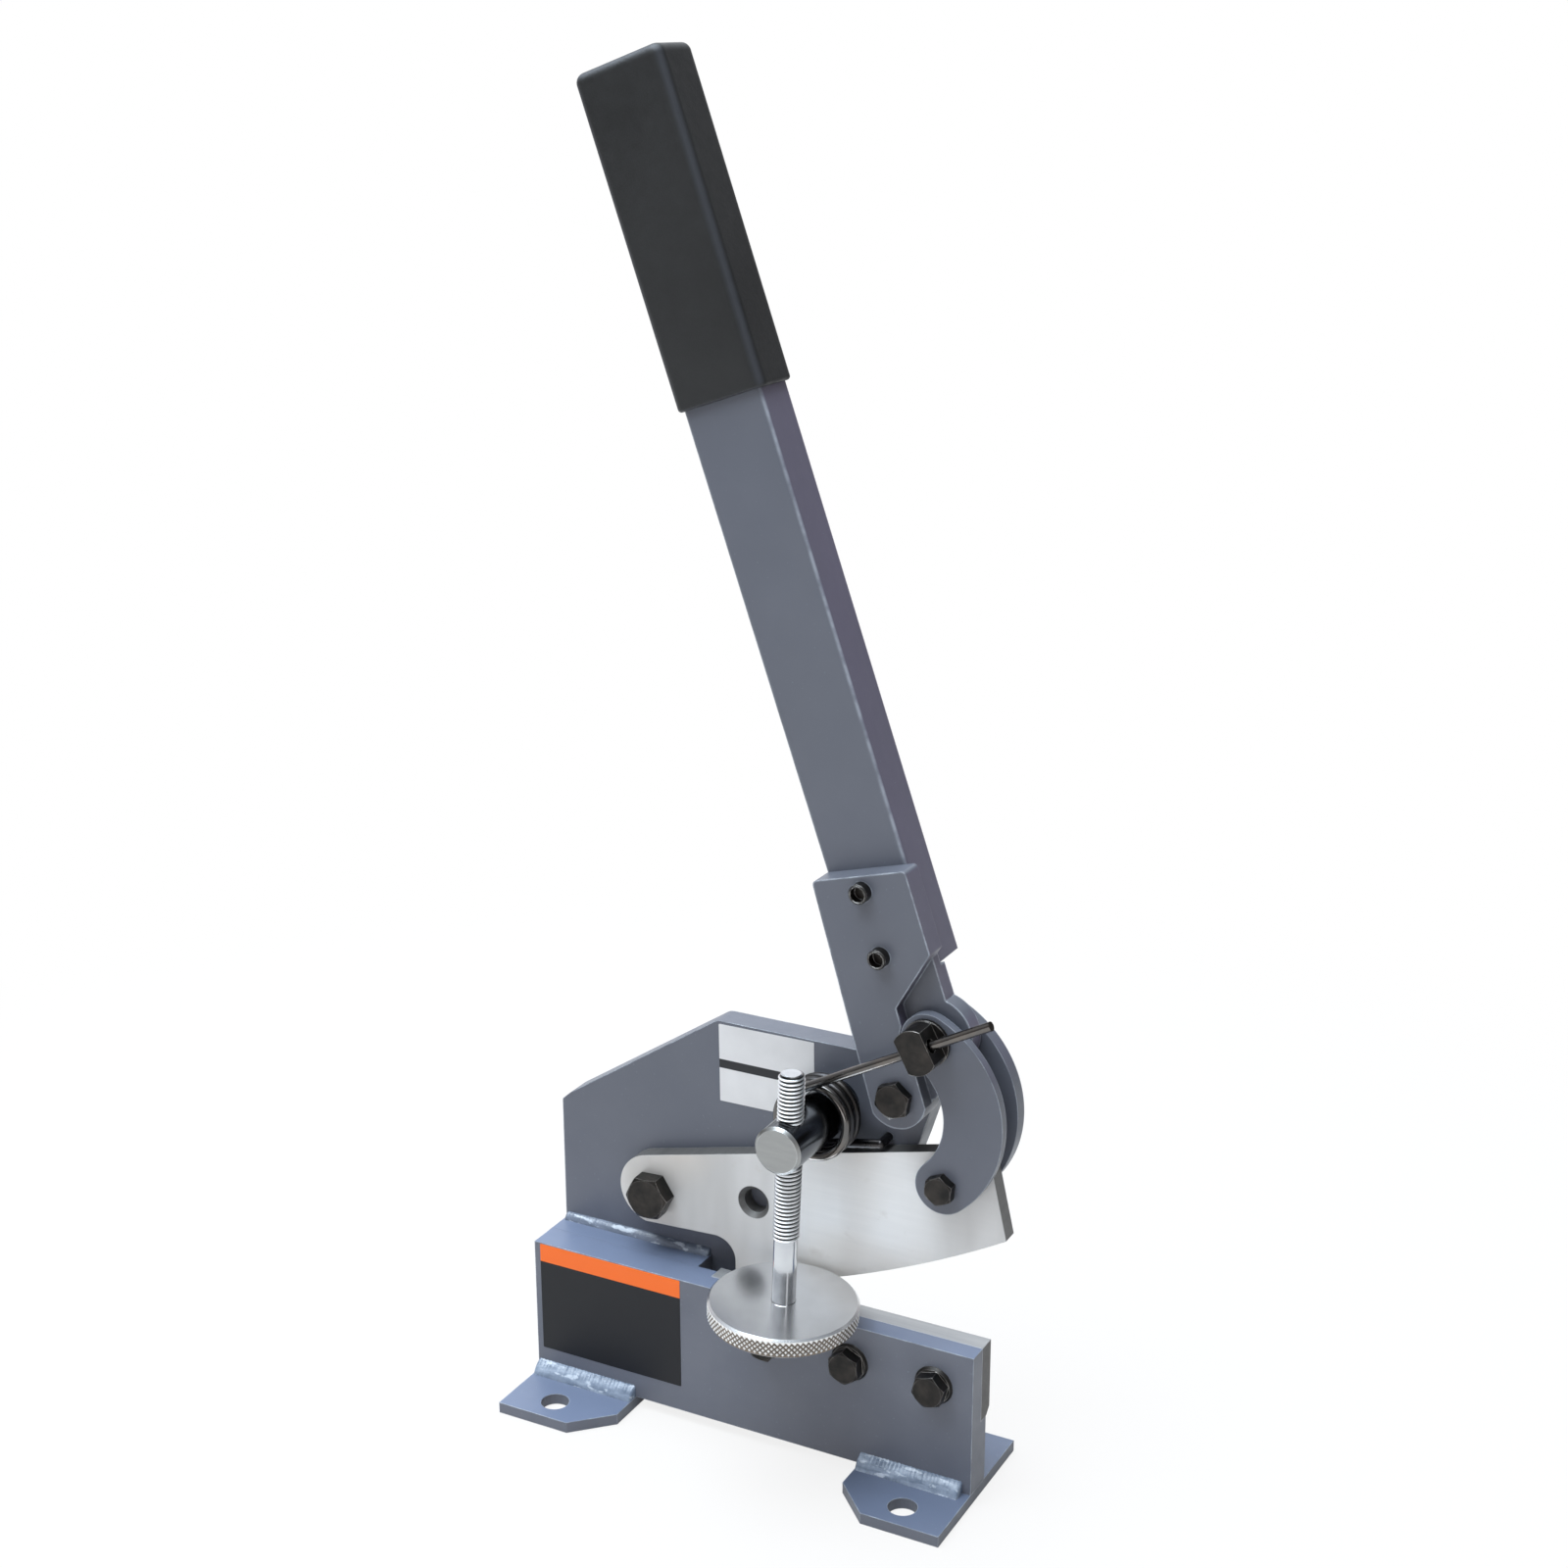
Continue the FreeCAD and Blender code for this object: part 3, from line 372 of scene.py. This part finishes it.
def bright_plating():
    """Bright plated screw; its thread is painted lighter as a highlight and near-black in the roots
    as painted shade.
    """
    material, tree, shader = new_finish("bright_plated_screw", Metallic=1.0)
    cloud = between(tree, speckle(tree, 60.0, 4.0), 0.3, 0.7)
    tone = blend_colour(tree, cloud, (0.50, 0.51, 0.53), (0.66, 0.67, 0.68))
    reach, height = round_the_screw(tree)
    # Painted shade: near-black in the thread's roots.
    root = between(tree, reach, THREAD_RADIUS - THREAD_DEPTH, THREAD_RADIUS - 0.3 * THREAD_DEPTH,
                   1.0, 0.0)
    on_thread = calc(tree, "MULTIPLY",
                     between(tree, height, THREAD_END - 0.1 * MM, THREAD_END + 0.1 * MM),
                     between(tree, height, SCREW_TOP - 0.6 * MM, SCREW_TOP - 0.4 * MM, 1.0, 0.0))
    root = calc(tree, "MULTIPLY", root, on_thread)
    # Painted highlight: the thread lightened towards white.
    crest = calc(tree, "MULTIPLY", on_thread, 0.7)
    tone = blend_colour(tree, crest, tone, (0.95, 0.95, 0.95))
    tree.links.new(blend_colour(tree, root, tone, (0.03, 0.03, 0.03)), shader.inputs["Base Color"])
    tree.links.new(calc(tree, "ADD", between(tree, speckle(tree, 600.0, 4.0), 0.3, 0.7, 0.10, 0.16),
                        calc(tree, "MULTIPLY", on_thread, 0.20)), shader.inputs["Roughness"])
    surface_bump(tree, shader, speckle(tree, 1200.0, 3.0), 0.02 * MM, 0.3, 0)
    return material


def turned_disc():
    """Plated disc: fine turned rings on its flats; on the knurled rim, painted highlight on the
    crests and darker, warmer painted shade in the hollows.
    """
    material, tree, shader = new_finish("turned_plated_disc", Metallic=1.0)
    reach, height = round_the_screw(tree)
    rings = add_node(tree, "TexNoise", {"W": calc(tree, "MULTIPLY", reach, 2600.0),
                                        "Scale": 1.0, "Detail": 3.0}, noise_dimensions="1D")
    cloud = between(tree, speckle(tree, 45.0, 4.0), 0.3, 0.7)
    tone = blend_colour(tree, cloud, (0.72, 0.72, 0.73), (0.86, 0.86, 0.87))
    on_rim = calc(tree, "MULTIPLY",
                  between(tree, reach, DISC_RADIUS - KNURL_DEPTH - 0.1 * MM,
                          DISC_RADIUS - KNURL_DEPTH - 0.02 * MM),
                  between(tree, height, DISC_TOP - TOP_CHAMFER - 0.2 * MM,
                          DISC_TOP - TOP_CHAMFER - 0.1 * MM, 1.0, 0.0))
    # Painted shade in the knurl hollows, darker and warmer.
    hollow = calc(tree, "MULTIPLY", on_rim,
                  between(tree, reach, DISC_RADIUS - 0.80 * KNURL_DEPTH,
                          DISC_RADIUS - 0.30 * KNURL_DEPTH, 1.0, 0.0))
    # Painted highlight: the rim near-white and, below, less metallic.
    tone = blend_colour(tree, on_rim, tone, (1.0, 0.98, 0.95))
    painted_hollow_shade = blend_colour(tree, speckle(tree, 140.0, 3.0), (0.12, 0.105, 0.09),
                          (0.30, 0.23, 0.17))
    tree.links.new(blend_colour(tree, hollow, tone, painted_hollow_shade), shader.inputs["Base Color"])
    tree.links.new(calc(tree, "SUBTRACT", 1.0, calc(tree, "MULTIPLY", on_rim, 0.65)),
                   shader.inputs["Metallic"])
    tree.links.new(between(tree, rings.outputs["Fac"], 0.3, 0.7, 0.21, 0.25),
                   shader.inputs["Roughness"])
    surface_bump(tree, shader, rings.outputs["Fac"], 0.003 * MM, 0.4, 0)
    return material


def two_tone_pin():
    """Cross pin: a bright faced end on a dark polished bar."""
    material, tree, shader = new_finish("faced_and_blackened_pin", Metallic=1.0)
    behind_face = between(tree, along(tree, "Y"), PIN_FACE, PIN_FACE + 0.4 * MM)
    lines = speckle(tree, 500.0, 5.0, (0.15, 1, 1), rough=0.7)
    bright = blend_colour(tree, between(tree, lines, 0.3, 0.7), (0.30, 0.302, 0.295),
                          (0.34, 0.34, 0.33))
    # Painted highlight: a pale line along the face's edges.
    bright = blend_colour(tree, edge_nearness(tree, 0.6 * MM), bright, (0.85, 0.85, 0.85))
    dark = blend_colour(tree, speckle(tree, 130.0, 3.0), (0.085, 0.092, 0.105), (0.17, 0.18, 0.195))
    tree.links.new(blend_colour(tree, behind_face, bright, dark), shader.inputs["Base Color"])
    tree.links.new(calc(tree, "SUBTRACT", 0.30, calc(tree, "MULTIPLY", behind_face, 0.12)),
                   shader.inputs["Roughness"])
    surface_bump(tree, shader, lines, 0.02 * MM, 0.4, 0.4 * MM)
    return material


def satin_rubber():
    """Dipped black grip: fine skin texture and a painted soft highlight along its rounded corners.
    """
    material, tree, shader = new_finish("satin_black_grip", Metallic=0.0, Specular_IOR_Level=0.38)
    cloud = between(tree, speckle(tree, 25.0, 4.0), 0.3, 0.7)
    tone = blend_colour(tree, cloud, (0.013, 0.0128, 0.0128), (0.020, 0.0197, 0.0197))
    # Painted highlight along the grip's rounded corners.
    painted_corner_sheen = calc(tree, "MULTIPLY", round_corner(tree), 0.7)
    tone = blend_colour(tree, painted_corner_sheen, tone, (0.048, 0.050, 0.058))
    tree.links.new(tone, shader.inputs["Base Color"])
    tree.links.new(between(tree, speckle(tree, 220.0, 4.0), 0.3, 0.7, 0.42, 0.56),
                   shader.inputs["Roughness"])
    surface_bump(tree, shader, speckle(tree, 1100.0, 4.0), 0.1 * MM, 0.5, 1.2 * MM)
    return material


def printed_plate(name, ground, band, band_heights, roughness):
    """Blank printed film with one plain band between two heights."""
    material, tree, shader = new_finish(name, Metallic=0.0, Roughness=roughness,
                                        Specular_IOR_Level=0.3)
    height = along(tree, "Z")
    low, high = band_heights
    above = between(tree, height, low - 0.05 * MM, low + 0.05 * MM)
    below = between(tree, height, high - 0.05 * MM, high + 0.05 * MM, 1.0, 0.0)
    in_band = calc(tree, "MULTIPLY", above, below)
    print_grain = between(tree, speckle(tree, 60.0, 3.0), 0.3, 0.7)
    darker = tuple(value * 0.9 for value in ground)
    tone = blend_colour(tree, print_grain, darker, ground)
    tree.links.new(blend_colour(tree, in_band, tone, band), shader.inputs["Base Color"])
    surface_bump(tree, shader, speckle(tree, 500.0, 2.0), 0.03 * MM, 0.2, 0.05 * MM)
    return material


paint = blue_grey_paint("satin_blue_grey_paint")
seam_paint = blue_grey_paint("blue_grey_paint_over_seam", edge_front=4 * MM)
strap_paint = blue_grey_paint("blue_grey_paint_cut_edges", edge_width=1.3 * MM, edge_front=4.5 * MM,
                              seam_from=STRAP_SEAM_START)
tube_paint = blue_grey_paint("blue_grey_paint_on_tube", painted_corner_highlight=True)
bead_paint = weld_paint("painted_foot_bead", (0.13, 0.165, 0.225), (0.31, 0.36, 0.44))
thin_bead_paint = weld_paint("painted_ledge_bead", (0.11, 0.13, 0.17), (0.17, 0.195, 0.25))
blade_steel = ground_blade_steel()
lower_steel = lower_blade_steel()
black_steel = black_oxide("black_oxide_steel")
threaded_steel = black_oxide("black_oxide_threaded_bolt", BOLT_THREAD_START)
# Its pale corners are rubbed wear with a painted highlight.
set_screw_steel = black_oxide("rubbed_set_screw_steel", corner=(0.85, 0.83, 0.80))
# Painted light: coil and arm are one wire; the arm gets a lighter copy for the light it catches,
# the coil a darker one for its shade.
coil_steel = spring_wire("oiled_dark_coil", (0.045, 0.045, 0.048), (0.075, 0.067, 0.062), 0.26)
arm_steel = spring_wire("oiled_bright_arm", (0.13, 0.125, 0.12), (0.19, 0.165, 0.145), 0.14)
plating = bright_plating()
disc_plating = turned_disc()
pin_steel = two_tone_pin()
grip_rubber = satin_rubber()

cad_finishes = {
    seam_paint: ("base_plate", "spacer_block"),
    paint: ("body_plate", "left_foot", "right_foot", "front_link", "rear_link"),
    strap_paint: ("lever_bracket",),
    tube_paint: ("handle_tube",),
    bead_paint: ("left_foot_weld", "right_foot_weld", "ledge_weld"),
    blade_steel: ("moving_blade",),
    lower_steel: ("lower_blade",),
    black_steel: ("lower_blade_bolt_1", "lower_blade_bolt_2", "lower_blade_bolt_3",
                  "blade_pivot_nut", "lever_pivot_nut", "link_washer", "link_bottom_nut",
                  "link_top_pin", "link_top_keeper"),
    set_screw_steel: ("upper_set_screw", "lower_set_screw"),
    threaded_steel: ("blade_pivot_bolt", "lever_pivot_bolt", "link_bottom_bolt"),
    coil_steel: ("spring_coil",),
    arm_steel: ("spring_arm",),
    plating: ("hold_down_screw", "hold_down_disc"),
    pin_steel: ("hold_down_pin",),
    grip_rubber: ("handle_grip",),
}
for finish, names in cad_finishes.items():
    for name in names:
        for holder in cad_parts[name].material_slots:
            holder.material = finish


# Pieces

def finish_piece(mesh, name, material, body, smooth=False):
    """Turns a bmesh into a named piece that rides on a body."""
    bmesh.ops.remove_doubles(mesh, verts=mesh.verts, dist=0.002 * MM)
    bmesh.ops.recalc_face_normals(mesh, faces=mesh.faces)
    data = bpy.data.meshes.new(name)
    mesh.to_mesh(data)
    mesh.free()
    for face in data.polygons:
        face.use_smooth = smooth
    data.materials.append(material)
    piece = bpy.data.objects.new(name, data)
    bpy.context.scene.collection.objects.link(piece)
    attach(piece, body)
    return piece


def grow_rim(mesh, border):
    """Pulls a new ring of faces from an open rim; returns the new rim and its vertices."""
    extruded = bmesh.ops.extrude_edge_only(mesh, edges=border)["geom"]
    verts = [item for item in extruded if isinstance(item, bmesh.types.BMVert)]
    chosen = set(verts)
    rim = [item for item in extruded if isinstance(item, bmesh.types.BMEdge)
           and item.verts[0] in chosen and item.verts[1] in chosen]
    return rim, verts


def lean_with_screw(mesh):
    """Turns upright hold-down geometry about the cross pin, as the screw leans."""
    turn = Matrix.Rotation(math.radians(SCREW_LEAN), 3, "Y")
    bmesh.ops.rotate(mesh, verts=mesh.verts, cent=(PIN_AXIS[0], 0, PIN_AXIS[1]), matrix=turn)


def hold_down_screw():
    """Rolled thread above a plain shank, with a small collar where it enters the disc."""
    mesh = bmesh.new()
    root, crest = THREAD_RADIUS - THREAD_DEPTH, THREAD_RADIUS
    low = THREAD_END - 2 * THREAD_PITCH
    tooth = [(root, 0.0), (root, 0.12), (crest, 0.40), (crest, 0.60), (root, 0.88), (root, 1.0)]
    profile = [mesh.verts.new((radius, 0, low + part * THREAD_PITCH)) for radius, part in tooth]
    edges = [mesh.edges.new(pair) for pair in zip(profile, profile[1:])]
    turns = int((SCREW_TOP - low) / THREAD_PITCH) + 2
    steps = 28
    bmesh.ops.spin(mesh, geom=profile + edges, cent=(0, 0, 0), axis=(0, 0, 1),
                   dvec=(0, 0, THREAD_PITCH / steps), angle=2 * math.pi * turns,
                   steps=steps * turns, use_merge=False)
    bmesh.ops.remove_doubles(mesh, verts=mesh.verts, dist=0.005 * MM)
    for level, above in ((THREAD_END, False), (SCREW_TOP, True)):
        cut = bmesh.ops.bisect_plane(mesh, geom=mesh.verts[:] + mesh.edges[:] + mesh.faces[:],
                                     plane_co=(0, 0, level), plane_no=(0, 0, 1),
                                     clear_outer=above, clear_inner=not above)
        rim = [item for item in cut["geom_cut"] if isinstance(item, bmesh.types.BMEdge)]
        bmesh.ops.holes_fill(mesh, edges=rim, sides=0)
    for vertex in mesh.verts:
        from_top = SCREW_TOP - vertex.co.z
        if from_top < THREAD_PITCH:
            ease = 0.74 + 0.26 * math.sqrt(max(from_top, 0.0) / THREAD_PITCH)
            vertex.co.x *= ease
            vertex.co.y *= ease
    shank_low = DISC_TOP - DISC_THICK
    shank_top = THREAD_END + 0.4 * MM
    shank = bmesh.ops.create_cone(mesh, cap_ends=True, segments=TURNED_SIDES,
                                  radius1=SHANK_RADIUS, radius2=SHANK_RADIUS,
                                  depth=shank_top - shank_low)["verts"]
    bmesh.ops.translate(mesh, verts=shank, vec=(0, 0, (shank_top + shank_low) / 2))
    collar = bmesh.ops.create_cone(mesh, cap_ends=True, segments=TURNED_SIDES,
                                   radius1=SHANK_RADIUS + 0.3 * MM,
                                   radius2=SHANK_RADIUS + 0.1 * MM, depth=0.4 * MM)["verts"]
    bmesh.ops.translate(mesh, verts=collar, vec=(0, 0, DISC_TOP + 0.2 * MM))
    bmesh.ops.translate(mesh, verts=mesh.verts, vec=(PIN_AXIS[0], SCREW_Y, 0))
    lean_with_screw(mesh)
    return finish_piece(mesh, "threaded_hold_down_screw", plating, "hold_down")


def knurled_disc():
    """Disc with a diamond knurled rim under a plain chamfered top edge."""
    mesh = bmesh.new()
    foot = 0.4 * MM
    low = DISC_TOP - DISC_THICK
    ring = bmesh.ops.create_circle(mesh, cap_ends=True, segments=KNURL_COLUMNS,
                                   radius=DISC_RADIUS - KNURL_DEPTH - foot)["verts"]
    bmesh.ops.translate(mesh, verts=ring, vec=(0, 0, low))
    rise = (DISC_THICK - foot - TOP_CHAMFER) / KNURL_ROWS
    levels = [foot] + [rise] * KNURL_ROWS + [TOP_CHAMFER]
    border = [e for e in mesh.edges if len(e.link_faces) == 1]
    hollows = []
    for row, step in enumerate(levels):
        border, verts = grow_rim(mesh, border)
        bmesh.ops.translate(mesh, verts=verts, vec=(0, 0, step))
        for vertex in verts:
            column = round(math.atan2(vertex.co.y, vertex.co.x) / (2 * math.pi) * KNURL_COLUMNS)
            raised = (column + row) % 2 == 0 and row > 0 or row == KNURL_ROWS
            reach = DISC_RADIUS if raised else DISC_RADIUS - KNURL_DEPTH
            if row == KNURL_ROWS + 1:
                reach = DISC_RADIUS - TOP_CHAMFER
            elif not raised:
                hollows.append(vertex)
            ratio = reach / math.hypot(vertex.co.x, vertex.co.y)
            vertex.co.x *= ratio
            vertex.co.y *= ratio
    bmesh.ops.connect_verts(mesh, verts=hollows)
    bmesh.ops.holes_fill(mesh, edges=border, sides=0)
    bmesh.ops.translate(mesh, verts=mesh.verts, vec=(PIN_AXIS[0], SCREW_Y, 0))
    lean_with_screw(mesh)
    return finish_piece(mesh, "knurled_hold_down_disc", disc_plating, "hold_down")


def weld_bead(name, place, left, right, radius, seed, node, material):
    """A flat rippled bead laid along a corner: overlapping lumps of slightly uneven size."""
    hand = random.Random(seed)
    mesh = bmesh.new()
    start, end = Vector((left, *place)), Vector((right, *place))
    run = end - start
    steps = 3 * int(run.length / BEAD_RIPPLE)
    ring = bmesh.ops.create_circle(mesh, cap_ends=True, segments=BEAD_SIDES,
                                   radius=radius * BEAD_END_SIZE)["verts"]
    bmesh.ops.rotate(mesh, verts=ring, cent=(0, 0, 0), matrix=Matrix.Rotation(math.pi / 2, 3, "Y"))
    bmesh.ops.scale(mesh, verts=ring, vec=(1, 1, BEAD_FLATNESS),
                    space=Matrix.Rotation(-math.pi / 4, 4, "X"))
    bmesh.ops.translate(mesh, verts=ring, vec=start)
    size = BEAD_END_SIZE
    border = [e for e in mesh.edges if len(e.link_faces) == 1]
    for step in range(1, steps + 1):
        border, verts = grow_rim(mesh, border)
        here = start + run * (step / steps)
        ripple = (0.95, 1.0, 0.985)[step % 3] + hand.uniform(-0.03, 0.01)
        if step == steps:
            ripple = BEAD_END_SIZE
        centre = sum((v.co for v in verts), Vector()) / len(verts)
        grow = ripple / size
        bmesh.ops.translate(mesh, verts=verts, vec=here - centre)
        bmesh.ops.scale(mesh, verts=verts, vec=(1, grow, grow), space=Matrix.Translation(-here))
        size = ripple
    bmesh.ops.holes_fill(mesh, edges=border, sides=0)
    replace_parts(finish_piece(mesh, name, material, "frame", smooth=True), node)


def blank_plate(name, centre, size, tilt, front, material):
    """Thin printed film with rounded corners on a face that looks to the front."""
    mesh = bmesh.new()
    bmesh.ops.create_grid(mesh, x_segments=1, y_segments=1, size=0.5)
    bmesh.ops.scale(mesh, verts=mesh.verts, vec=(*size, 1))
    bmesh.ops.bevel(mesh, geom=mesh.verts[:], offset=FILM_CORNER, offset_type="OFFSET", segments=4,
                    profile=0.5, affect="VERTICES", material=-1)
    bmesh.ops.rotate(mesh, verts=mesh.verts, cent=(0, 0, 0),
                     matrix=Matrix.Rotation(math.pi / 2, 3, "X"))
    bmesh.ops.rotate(mesh, verts=mesh.verts, cent=(0, 0, 0),
                     matrix=Matrix.Rotation(math.radians(-tilt), 3, "Y"))
    film = bmesh.ops.extrude_face_region(mesh, geom=mesh.faces[:])["geom"]
    lifted = [item for item in film if isinstance(item, bmesh.types.BMVert)]
    bmesh.ops.translate(mesh, verts=lifted, vec=(0, -FILM_THICK, 0))
    bmesh.ops.translate(mesh, verts=mesh.verts, vec=(centre[0], front, centre[1]))
    return finish_piece(mesh, name, material, "frame")


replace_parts(hold_down_screw(), "hold_down_screw")
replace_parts(knurled_disc(), "hold_down_disc")
weld_bead("left_foot_bead", FOOT_WELD_AT, -105.7 * MM, -55.2 * MM, FOOT_BEAD_RADIUS, 3,
          "left_foot_weld", bead_paint)
weld_bead("right_foot_bead", FOOT_WELD_AT, 55.2 * MM, 102.2 * MM, FOOT_BEAD_RADIUS, 5,
          "right_foot_weld", bead_paint)
weld_bead("ledge_bead", LEDGE_WELD_AT, -105.2 * MM, -31.0 * MM, LEDGE_BEAD_RADIUS, 7,
          "ledge_weld", thin_bead_paint)
blank_plate("blank_pale_plate", PALE_PLATE_AT, PALE_PLATE_SIZE, PALE_PLATE_TILT, BODY_FRONT,
            printed_plate("pale_film", (0.72, 0.70, 0.69), (0.022, 0.022, 0.024), PALE_BAND, 0.38))
blank_plate("blank_dark_plate", DARK_PLATE_AT, DARK_PLATE_SIZE, 0.0, BASE_FRONT,
            printed_plate("dark_film", (0.010, 0.010, 0.012), (0.90, 0.155, 0.018), DARK_BAND,
                          0.42))


# Floor, light and camera

def pale_floor():
    """A wide plain floor that shows white and keeps a faint shadow round the shear."""
    mesh = bmesh.new()
    bmesh.ops.create_grid(mesh, x_segments=1, y_segments=1, size=6.0)
    data = bpy.data.meshes.new("floor")
    mesh.to_mesh(data)
    mesh.free()
    floor = bpy.data.objects.new("floor", data)
    bpy.context.scene.collection.objects.link(floor)
    material = bpy.data.materials.new("pale_floor")
    material.use_nodes = True
    tree = material.node_tree
    tree.nodes.clear()
    rays = add_node(tree, "LightPath")
    coordinates = add_node(tree, "TexCoord")
    reach = add_node(tree, "VectorMath", {0: coordinates.outputs["Object"]}, operation="LENGTH")
    glow = between(tree, reach.outputs["Value"], 0.25, 0.70, 0.84, 1.0)
    seen = calc(tree, "MAXIMUM", rays.outputs["Is Camera Ray"],
                calc(tree, "MULTIPLY", rays.outputs["Is Glossy Ray"], 0.35))
    matt = add_node(tree, "BsdfDiffuse", {"Color": (0.59, 0.565, 0.545, 1)})
    white = add_node(tree, "Emission", {"Color": (1, 1, 1, 1), "Strength": 1.0})
    mixed = add_node(tree, "MixShader", {0: calc(tree, "MULTIPLY", seen, glow),
                                         1: matt.outputs[0], 2: white.outputs[0]})
    add_node(tree, "OutputMaterial", {"Surface": mixed.outputs[0]})
    data.materials.append(material)


def soft_lamp(name, place, aim, size, power, colour=(1, 1, 1)):
    lamp = bpy.data.lights.new(name, "AREA")
    lamp.shape = "RECTANGLE"
    lamp.size, lamp.size_y = size
    lamp.energy = power
    lamp.color = colour
    holder = bpy.data.objects.new(name, lamp)
    bpy.context.scene.collection.objects.link(holder)
    holder.location = place
    holder.rotation_euler = (Vector(aim) - Vector(place)).to_track_quat("-Z", "Y").to_euler()
    return holder


def studio_world():
    """White to the camera; a plain grey room, bright overhead and on one side, for reflections."""
    world = bpy.data.worlds.new("studio")
    bpy.context.scene.world = world
    world.use_nodes = True
    tree = world.node_tree
    tree.nodes.clear()
    rays = add_node(tree, "LightPath")
    coordinates = add_node(tree, "TexCoord")
    parts = add_node(tree, "SeparateXYZ", {0: coordinates.outputs["Generated"]})
    height = between(tree, parts.outputs["Z"], 0.0, 0.8, 0.08, 0.95)
    backdrop = add_node(tree, "VectorMath", {0: coordinates.outputs["Generated"],
                                             1: BACKDROP_SIDE}, operation="DOT_PRODUCT")
    bright_side = between(tree, backdrop.outputs["Value"], 0.55, 0.95, 0.0, 0.9)
    right_side = between(tree, parts.outputs["X"], -0.3, 0.7, 1.0, 0.45)
    strength = calc(tree, "MULTIPLY", calc(tree, "ADD", height, bright_side), right_side)
    tint = between(tree, parts.outputs["Z"], 0.1, 0.7)
    colour = blend_colour(tree, tint, (1.0, 0.97, 1.0), (0.86, 0.93, 1.0))
    room = add_node(tree, "Background", {"Color": colour, "Strength": strength})
    white = add_node(tree, "Background", {"Color": (1, 1, 1, 1), "Strength": 1.0})
    mixed = add_node(tree, "MixShader", {0: rays.outputs["Is Camera Ray"], 1: room.outputs[0],
                                         2: white.outputs[0]})
    add_node(tree, "OutputWorld", {"Surface": mixed.outputs[0]})


pale_floor()
studio_world()
soft_lamp("overhead_softbox", (-0.35, -0.25, 1.9), (0, 0, 0.2), (1.6, 1.6), 69.0,
          (0.80, 0.905, 1.0))
soft_lamp("low_front_fill", (0.1, -1.1, 0.12), (0, 0, 0.03), (0.9, 0.2), 1.3, (0.97, 0.97, 1.0))
edge_strip = soft_lamp("edge_strip", (1.7, -1.06, 0.62), (0, 0, 0.3), (0.22, 1.4), 1.5)
edge_strip.visible_diffuse = False

camera_data = bpy.data.cameras.new("camera")
camera_data.lens = CAMERA_LENS
camera_data.sensor_width = 36.0
camera_data.clip_start = 0.01
camera = bpy.data.objects.new("camera", camera_data)
bpy.context.scene.collection.objects.link(camera)
camera.location = CAMERA_PLACE
camera.rotation_euler = (Matrix.Rotation(math.radians(CAMERA_AZIMUTH), 3, "Z")
                         @ Matrix.Rotation(math.radians(90 - CAMERA_ELEVATION), 3, "X")
                         @ Matrix.Rotation(math.radians(CAMERA_ROLL), 3, "Z")).to_euler()
bpy.context.scene.camera = camera
bpy.context.scene.view_settings.view_transform = "Standard"
